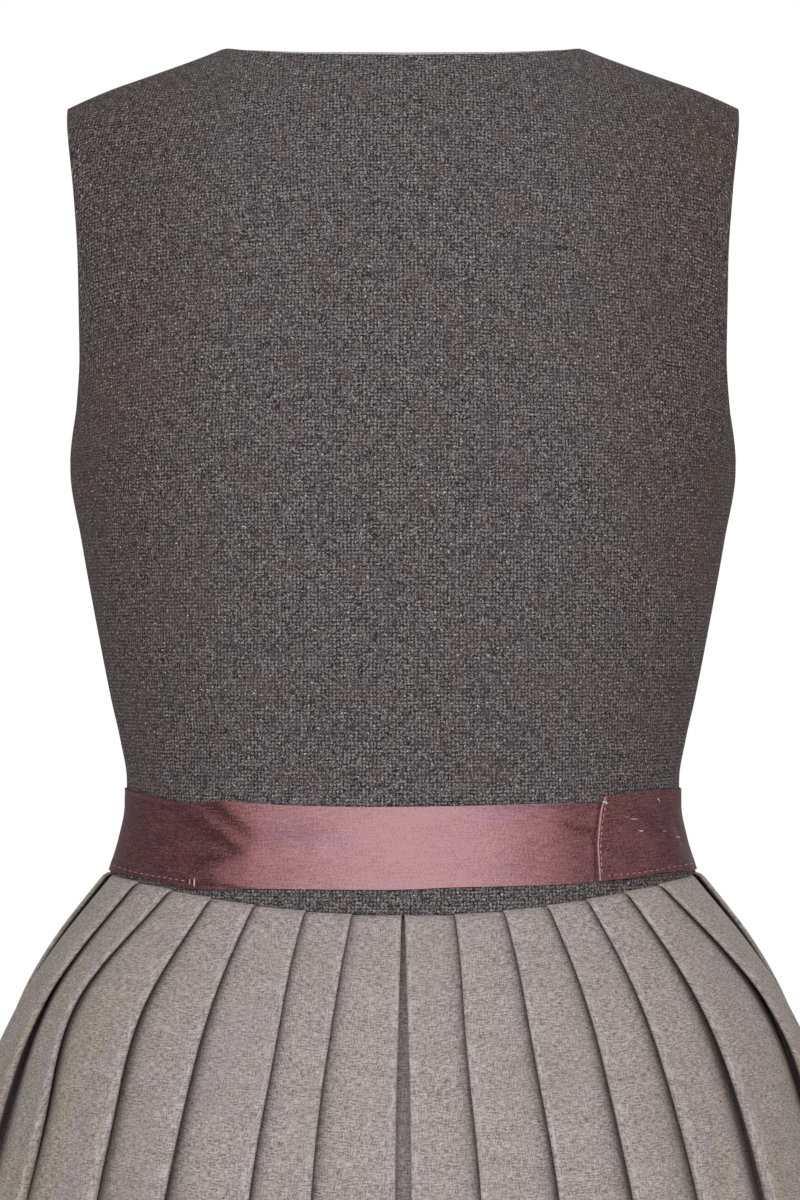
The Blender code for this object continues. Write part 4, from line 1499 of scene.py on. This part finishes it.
RIGHT_FOLDS = (
    FoldRow(0.0000, -0.0065),
    FoldRow(0.0000, -0.0082),
    FoldRow(-0.0017, -0.0093),
    FoldRow(-0.0044, -0.0125),
    FoldRow(-0.0051, -0.0092),
    FoldRow(-0.0048, 0.0170),
    FoldRow(0.0280, 0.0600),
    FoldRow(0.0210, 0.0440),
    FoldRow(0.0140, 0.0290),
    FoldRow(0.0070, 0.0140),
)


class Swell(NamedTuple):
    """A soft trough or ridge of the hanging skirt.

    Attributes:
        turn: Where it lies, in degrees from the centre back towards the wearer's left.
        top: Height of its upper end.
        bottom: Height of its lower end.
        spread: How wide it is, in degrees.
        depth: How far it draws the cloth in; negative for a ridge.
    """

    turn: float
    top: float
    bottom: float
    spread: float
    depth: float


SWELLS = (
    Swell(61.0, -0.430, -0.620, 6.0, 0.0040),
    Swell(75.0, -0.420, -0.800, 5.0, 0.0035),
    Swell(-63.0, -0.440, -0.640, 6.0, 0.0040),
    Swell(-78.0, -0.430, -0.900, 6.0, 0.0035),
    Swell(40.0, -0.520, -1.070, 7.0, 0.0040),
    Swell(-42.0, -0.560, -1.070, 6.0, 0.0035),
    Swell(12.0, -0.600, -1.070, 7.0, -0.0030),
    Swell(-17.0, -0.650, -1.070, 8.0, 0.0030),
    Swell(100.0, -0.450, -1.070, 6.0, 0.0045),
    Swell(-104.0, -0.480, -1.070, 7.0, 0.0045),
    Swell(126.0, -0.500, -0.950, 6.0, 0.0035),
    Swell(-129.0, -0.470, -1.000, 6.0, 0.0035),
    Swell(152.0, -0.550, -1.070, 7.0, -0.0030),
    Swell(-149.0, -0.520, -1.070, 8.0, 0.0035),
    Swell(178.0, -0.600, -1.070, 9.0, 0.0030),
)

PLEATS_PER_SIDE = 14
FRONT_PLEATS = 5


@dataclass
class SkirtLevel:
    """The base curve inside the pleats at one height, and the sizes of the pleats there."""

    curves: dict[str, Curve]
    z: float
    wall: float = 0.0010
    samples: int = 720
    dip_sharpness: float = 1.2

    def __post_init__(self) -> None:
        """Reads the table and measures the base curve."""
        for name, curve in self.curves.items():
            setattr(self, name, float(curve(self.z)))
        step = 0.004
        wider = float(self.curves["half_width"](self.z - step) - self.curves["half_width"](self.z + step))
        self.thick = self.wall * math.hypot(1.0, wider / (2 * step))
        inset = self.fold_height + self.thick / 2
        self.width = self.half_width - inset
        self.back = self.back_depth - inset
        self.front = self.front_depth - inset
        self.angles = np.linspace(math.pi, 0.0, self.samples + 1)
        base = self._base(self.angles)[:, :2]
        steps = np.linalg.norm(np.diff(base, axis=0), axis=1)
        self.lengths = np.concatenate([[0.0], np.cumsum(steps)])
        self.half_length = float(self.lengths[-1])
        self.last_edge = self.half_length - self.centre_gap - self.thick / math.sqrt(2)

    def _base(self, angle: Points) -> Points:
        """Points of the base curve, by angle from the centre back."""
        depth = np.where(np.cos(angle) >= 0, self.back, self.front)
        share = np.clip(np.abs(np.sin(angle)), 0, 1)
        dip = np.where(np.cos(angle) > 0, self.dip * (1 - share**2) ** self.dip_sharpness, 0.0)
        return np.stack([self.width * np.sin(angle), depth * np.cos(angle), self.z - dip], axis=-1)

    def _swell(self, turn: Points) -> Points:
        """How far the hanging cloth is drawn in at each angle, in degrees."""
        total = np.zeros_like(turn)
        for swell in SWELLS:
            fade = smooth(-self.z, -swell.top, -swell.top + 0.09)
            ends = swell.bottom > -1.0
            fade = fade * (1 - smooth(-self.z, -swell.bottom - 0.10, -swell.bottom) if ends else 1.0)
            aside = (turn - swell.turn + 180) % 360 - 180
            total = total + swell.depth * fade * np.exp(-((aside / swell.spread) ** 2))
        return total

    def place(self, along: Points, out: Points) -> Points:
        """Points by their way along the base curve from the centre front, and their way out from it."""
        half = self.half_length
        along = (along + half) % (2 * half) - half
        side = np.where(along >= 0, 1.0, -1.0)
        angle = np.interp(np.abs(along), self.lengths, self.angles)
        depth = np.where(np.cos(angle) >= 0, self.back, self.front)
        normal = np.stack([np.sin(angle) * depth, np.cos(angle) * self.width, 0 * angle], axis=-1)
        normal /= np.linalg.norm(normal, axis=-1, keepdims=True)
        out = out - self._swell(np.degrees(angle) * side)
        points = self._base(angle) + out[..., None] * normal
        points[..., 0] *= side
        return points

    def path_length(self, pitch: Points, overlap: Points) -> Points:
        """Cloth in each pleat, along its middle line."""
        panel = np.hypot(pitch + overlap, self.fold_height)
        back = np.hypot(overlap, self.fold_height - 2 * self.layer_pitch)
        return panel + back + self.layer_pitch * (1 + math.sqrt(2))


class Step(NamedTuple):
    """A point of the path across the pleats at one level."""

    along: float
    out: float
    # Painted light and shade on the flannel here: positive paints a highlight, negative paints shade.
    wear: float = 0.0


@dataclass
class Pleats:
    """The pleats of one side at one level, counted from the smooth front panel's edge, fold 0."""

    level: SkirtLevel
    top: "Pleats | None"
    folds: Sequence[FoldRow]
    front_half: float = 0.0585
    top_overlap: float = 0.0280
    under_steps: int = 4
    panel_steps: int = 14
    turn_steps: int = 4
    return_steps: int = 3
    wander: float = 0.0005
    sharp_radius: float = 0.0009
    soft_radius: float = 0.0030
    ripple: float = 0.0024
    shadow_width: float = 0.33
    underlay_lift: float = 0.60

    def __post_init__(self) -> None:
        """Lays out the folds and how far each lies over the next."""
        level = self.level
        spare = level.last_edge - self.top.level.last_edge if self.top else 0.0
        growth = spare / (PLEATS_PER_SIDE + 0.5)
        start = self.front_half + growth / 2
        pitch = (level.last_edge - start) / PLEATS_PER_SIDE
        self.edges = start + pitch * np.arange(PLEATS_PER_SIDE + 1)
        low = bump(level.z, -0.455, 0.042)
        for i, fold in enumerate(self.folds, start=1):
            shift = fold.sewn * level.as_sewn + fold.hung * level.as_hung + fold.low * low
            self.edges[-1 - i] -= shift
        number = np.arange(1, PLEATS_PER_SIDE)
        loose = smooth(-level.z, 0.40, 0.47)
        self.edges[1:-1] += self.wander * loose * np.sin(level.z * (31 + 5 * (number % 4)) + 2.3 * number)
        self.widths = np.concatenate([[pitch], np.diff(self.edges)])
        if self.top is None:
            self.overlaps = np.full(len(self.widths), self.top_overlap)
            self.cloth = level.path_length(self.widths, self.overlaps)
            return
        self.cloth = self.top.cloth
        least = np.zeros(len(self.widths))
        most = np.full(len(self.widths), self.top_overlap)
        for _ in range(30):
            middle = (least + most) / 2
            long = level.path_length(self.widths, middle) > self.cloth
            most = np.where(long, middle, most)
            least = np.where(long, least, middle)
        self.overlaps = (least + most) / 2

    def inner_fold(self, index: int) -> float:
        """Way along to the inner fold that lies under an outer fold."""
        return float(self.edges[index] - self.overlaps[index])

    def _panel(self, index: int) -> list[Step]:
        """The visible layer of a pleat, rising from an inner fold towards its outer fold."""
        level = self.level
        start = self.inner_fold(index - 1)
        end = float(self.edges[index]) - self.turn_radius(index)
        shown = (float(self.edges[index - 1]) - start) / (end - start)
        shares = np.concatenate([
            np.linspace(0, shown, self.under_steps, endpoint=False),
            shown + (1 - shown) * np.linspace(0, 1, self.panel_steps, endpoint=False) ** 1.6,
        ])
        steps = []
        for share in shares:
            along = start + (end - start) * share
            out = level.fold_height * share + level.belly * math.sin(math.pi * share)
            out += self._ripple(index) * math.sin(math.tau * 1.5 * share + 1.7 * index) * share * (1 - share) * 4
            # Painted shadow fades away from the fold that covers this face, and a painted highlight rises just before
            # its own fold.
            past = max(0.0, along - float(self.edges[index - 1]))
            shadow = math.exp(-past / (self.shadow_width * level.fold_height * (1 + 1.6 * self._hanging(index))))
            steps.append(Step(along, out, 0.4 * max(0.0, share - 0.9) / 0.1 - shadow))
        return steps

    def _hanging(self, index: int) -> float:
        """0 for the pressed pleats near the centre back and at the waist, 1 for loose ones lower down."""
        from_centre = smooth(np.array(float(PLEATS_PER_SIDE - index)), 1.5, 5.0)
        return float(from_centre * smooth(np.array(-self.level.z), 0.44, 0.60))

    def _ripple(self, index: int) -> float:
        """Height of the soft ripple along a pleat's face."""
        return self.ripple * (0.25 + 0.75 * self._hanging(index)) * float(smooth(np.array(-self.level.z), 0.42, 0.56))

    def turn_radius(self, index: int) -> float:
        """Radius of an outer fold, sharp where it is pressed and rounder where it hangs."""
        return min(self.level.layer_pitch / 2, self.sharp_radius) + self.soft_radius * self._hanging(index)

    def _fold(self, index: int) -> list[Step]:
        """An outer fold and the hidden layer that goes back from it, round the inner fold."""
        level = self.level
        radius = self.turn_radius(index)
        edge, inner = float(self.edges[index]), self.inner_fold(index)
        steps = []
        # Painted highlight over the fold's edge, turning to painted shade under it and on the hidden layer.
        for turn in np.linspace(ROUND, -ROUND, self.turn_steps + 2):
            out = level.fold_height - radius + radius * math.sin(turn)
            steps.append(Step(edge - radius + radius * math.cos(turn), out, math.sin(turn) * 0.9 + 0.1))
        out = level.fold_height - 2 * radius
        for share in np.linspace(0, 1, self.return_steps + 2)[1:-1]:
            along = edge - radius + (inner - edge + radius) * share
            steps.append(Step(along, out + (level.layer_pitch - out) * share, -1.0))
        return steps

    def _inner_turn(self, index: int) -> list[Step]:
        """The turn of the inner fold, from the hidden layer to the next pleat's face."""
        radius = self.level.layer_pitch / 2
        inner = self.inner_fold(index)
        # The inner fold is painted in shade.
        return [Step(inner - radius * math.cos(t), radius + radius * math.sin(t), -1.0) for t in (ROUND, 0.5, -0.5)]

    def seam(self, index: int, side: int) -> list[Step]:
        """Where a width of cloth ends, half-way round an inner fold: side is 1 above its seam, -1 below."""
        middle = self.level.layer_pitch / 2
        return [Step(self.inner_fold(index), middle + side * (SEAM_GAP + self.level.thick) / 2)]

    def half_front(self) -> list[Step]:
        """From the centre front to the seam in the inner fold at the side."""
        level = self.level
        flat_end = float(self.edges[0]) - self.turn_radius(0)
        steps = [Step(flat_end * k / 12, level.fold_height) for k in range(12)]
        steps += self._fold(0)
        for index in range(1, FRONT_PLEATS + 1):
            steps += self._inner_turn(index - 1) + self._panel(index) + self._fold(index)
        return steps + self.seam(FRONT_PLEATS, 1)

    def half_back(self) -> list[Step]:
        """From the seam at the side to the last inner fold, before the centre back."""
        steps = self.seam(FRONT_PLEATS, -1)
        for index in range(FRONT_PLEATS + 1, PLEATS_PER_SIDE + 1):
            steps += self._panel(index) + self._fold(index)
            if index < PLEATS_PER_SIDE:
                steps += self._inner_turn(index)
        return steps

    def behind(self, left: "Pleats") -> list[Step]:
        """The layer behind the inverted pleat, from the last inner fold to the left width's own."""
        level = self.level
        around = 2 * level.half_length
        start = self.inner_fold(PLEATS_PER_SIDE)
        (seam,) = left.seam(PLEATS_PER_SIDE, -1)
        width = around - seam.along - start
        lift = self.underlay_lift * level.fold_height * float(smooth(np.array(-level.z), 0.46, 0.66))
        flat = [
            Step(start + width * share, lift * float(bump(share, 0.5, 0.16)))
            for share in np.linspace(0, 1, 21)
        ]
        return self._inner_turn(PLEATS_PER_SIDE) + flat + [Step(around - seam.along, seam.out)]


def mirrored(steps: Sequence[Step]) -> list[Step]:
    """The same path on the other side, in the order that keeps its outer side outwards."""
    return [Step(-step.along, step.out, step.wear) for step in reversed(steps)]


@dataclass
class Skirt:
    """The pleated skirt: a front width and two back widths.

    Attributes:
        finishes: The materials.
        cloth: Thickness of the flannel.
        top_z: Height of the waist seam.
        hem_z: Height of the hem.
        first_step: Distance of the uppermost levels.
        last_step: Distance of the lowest ones.
        turn_in: Radius over which the top edge rolls in to the seam.
    """

    finishes: Finishes
    cloth: float = 0.0009
    top_z: float = -0.397
    hem_z: float = -1.070
    first_step: float = 0.0008
    last_step: float = 0.0085
    turn_in: float = 0.0028

    def _heights(self) -> list[float]:
        """Heights of the levels from the top down, closest at the waist."""
        heights, step = [self.top_z], self.first_step
        while heights[-1] - step > self.hem_z:
            heights.append(heights[-1] - step)
            step = min(self.last_step, step * 1.07)
        return heights + [self.hem_z]

    def _rolled(self, level: SkirtLevel, steps: Sequence[Step]) -> Points:
        """The path's points, drawn in where the top edge turns to the seam."""
        along = np.array([step.along for step in steps])
        out = np.array([step.out for step in steps])
        below = min(1.0, (self.top_z - level.z) / self.turn_in)
        inwards = self.turn_in * (1 - math.sqrt(1 - (1 - below) ** 2))
        share = np.clip(out / level.fold_height, 0, 1)
        return level.place(along, out - inwards * (0.3 + 0.9 * share))

    def _width(self, name: str, levels: Sequence[tuple[SkirtLevel, list[Step]]]) -> bpy.types.Object:
        """One width of cloth, from its path along every level.

        Args:
            name: Name of the CAD node.
            levels: The levels from the top down, each with the path there.

        Returns:
            The finished piece.
        """
        rising = list(reversed(levels))
        points = np.array([self._rolled(level, steps) for level, steps in rising])
        # The painted light and shade of every point, which the flannel reads.
        wear = np.array([[step.wear for step in steps] for _, steps in rising])
        across = lengths_along(points, 1)
        middle = points.shape[1] // 2
        cloth_map = np.stack([across - across[:, middle : middle + 1], lengths_along(points, 0)], axis=-1)
        cloth = Cloth(f"{name}_cloth", points, cloth_map, self.cloth, offset=0.0, marks={PAINTED_SHADING: wear})
        return dress(cloth.build(), self.finishes.flannel, Slot.FLANNEL, name)

    def build(self) -> None:
        """Makes the three widths, joined in the inner folds at the sides and the centre back."""
        names = [name for name in SkirtRow._fields if name != "z"]
        curves = {name: Curve(SKIRT_ROWS, "z", name) for name in names}
        front, back_left, back_right = [], [], []
        first: list[Pleats] = []
        for z in self._heights():
            level = SkirtLevel(curves, z)
            tops = first or [None, None]
            left, right = (Pleats(level, top, f) for top, f in zip(tops, (LEFT_FOLDS, RIGHT_FOLDS)))
            first = first or [left, right]
            half = left.half_front()
            front.append((level, mirrored(half) + half[1:]))
            back_left.append((level, left.half_back() + left.seam(PLEATS_PER_SIDE, 1)))
            back_right.append((level, mirrored(right.half_back() + right.behind(left))))
        piece = self._width("skirt_front", front)
        piece = self._width("skirt_back_left", back_left)
        piece = self._width("skirt_back_right", back_right)


# ---------------------------------------------------------------------------------------------
# Studio
# ---------------------------------------------------------------------------------------------


@dataclass
class SoftLight:
    """A square area light."""

    name: str
    place: tuple[float, float, float]
    aim: tuple[float, float, float]
    size: float
    power: float

    def build(self) -> None:
        """Makes the light."""
        data = bpy.data.lights.new(self.name, "AREA")
        data.shape = "SQUARE"
        data.size = self.size
        data.energy = self.power
        lamp = bpy.data.objects.new(self.name, data)
        lamp.location = self.place
        way = Vector(self.aim) - Vector(self.place)
        lamp.rotation_euler = way.to_track_quat("-Z", "Y").to_euler()
        bpy.context.scene.collection.objects.link(lamp)


LIGHTS = (
    SoftLight("key", (0.75, 2.60, 0.85), (0.0, 0.0, -0.40), 1.1, 26.0),
    SoftLight("fill", (-0.95, 2.60, 0.55), (0.0, 0.0, -0.45), 1.3, 22.0),
    SoftLight("front_fill", (-0.80, -2.40, 0.80), (0.0, 0.0, -0.50), 1.8, 14.0),
)


@dataclass
class Studio:
    """The white surroundings, the lights and the camera."""

    floor_z: float = -1.102
    floor_radius: float = 2.6
    ambient: float = 0.50
    lens: float = 144.0
    camera_place: tuple[float, float, float] = (0.0015, 2.4, -0.261)

    def build(self) -> None:
        """Makes everything that isn't the dress."""
        self._build_floor()
        self._build_world()
        for light in LIGHTS:
            light.build()
        self._build_camera()

    def _build_floor(self) -> None:
        """A pale floor under the hem, below the view from behind."""
        bpy.ops.mesh.primitive_cylinder_add(
            vertices=128, radius=self.floor_radius, depth=0.02, location=(0, 0, self.floor_z - 0.01)
        )
        floor = bpy.context.object
        floor.name = "floor"
        floor.data.materials.append(MattPaint().build())

    def _build_world(self) -> None:
        """A world that is white to look at and dimmer as a light."""
        world = bpy.data.worlds.new("white_surroundings")
        world.use_nodes = True
        bpy.context.scene.world = world
        nodes, links = world.node_tree.nodes, world.node_tree.links
        seen = nodes.new("ShaderNodeBackground")
        seen.inputs["Color"].default_value = (1.0, 1.0, 1.0, 1.0)
        lit = nodes["Background"]
        lit.inputs["Color"].default_value = (1.0, 1.0, 1.0, 1.0)
        lit.inputs["Strength"].default_value = self.ambient
        path = nodes.new("ShaderNodeLightPath")
        mix = nodes.new("ShaderNodeMixShader")
        links.new(path.outputs["Is Camera Ray"], mix.inputs[0])
        links.new(lit.outputs[0], mix.inputs[1])
        links.new(seen.outputs[0], mix.inputs[2])
        links.new(mix.outputs[0], nodes["World Output"].inputs["Surface"])

    def _build_camera(self) -> None:
        """The camera behind the dress."""
        data = bpy.data.cameras.new("view_from_behind")
        data.lens = self.lens
        data.sensor_width = 36.0
        camera = bpy.data.objects.new("view_from_behind", data)
        camera.location = self.camera_place
        camera.rotation_euler = (ROUND, 0.0, math.pi)
        bpy.context.scene.collection.objects.link(camera)
        bpy.context.scene.camera = camera
        bpy.context.scene.view_settings.view_transform = "Standard"


def main() -> None:
    """Builds the dress on its solids and the studio round it."""
    logging.basicConfig(level=logging.INFO, format="%(name)s: %(message)s")
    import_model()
    torso = Torso()
    finishes = Finishes()
    Bodice(torso, finishes).build()
    belt = Belt(torso, finishes)
    belt.build()
    Stitching(belt, finishes).build()
    Skirt(finishes).build()
    Studio().build()


if __name__ == "__main__":
    main()
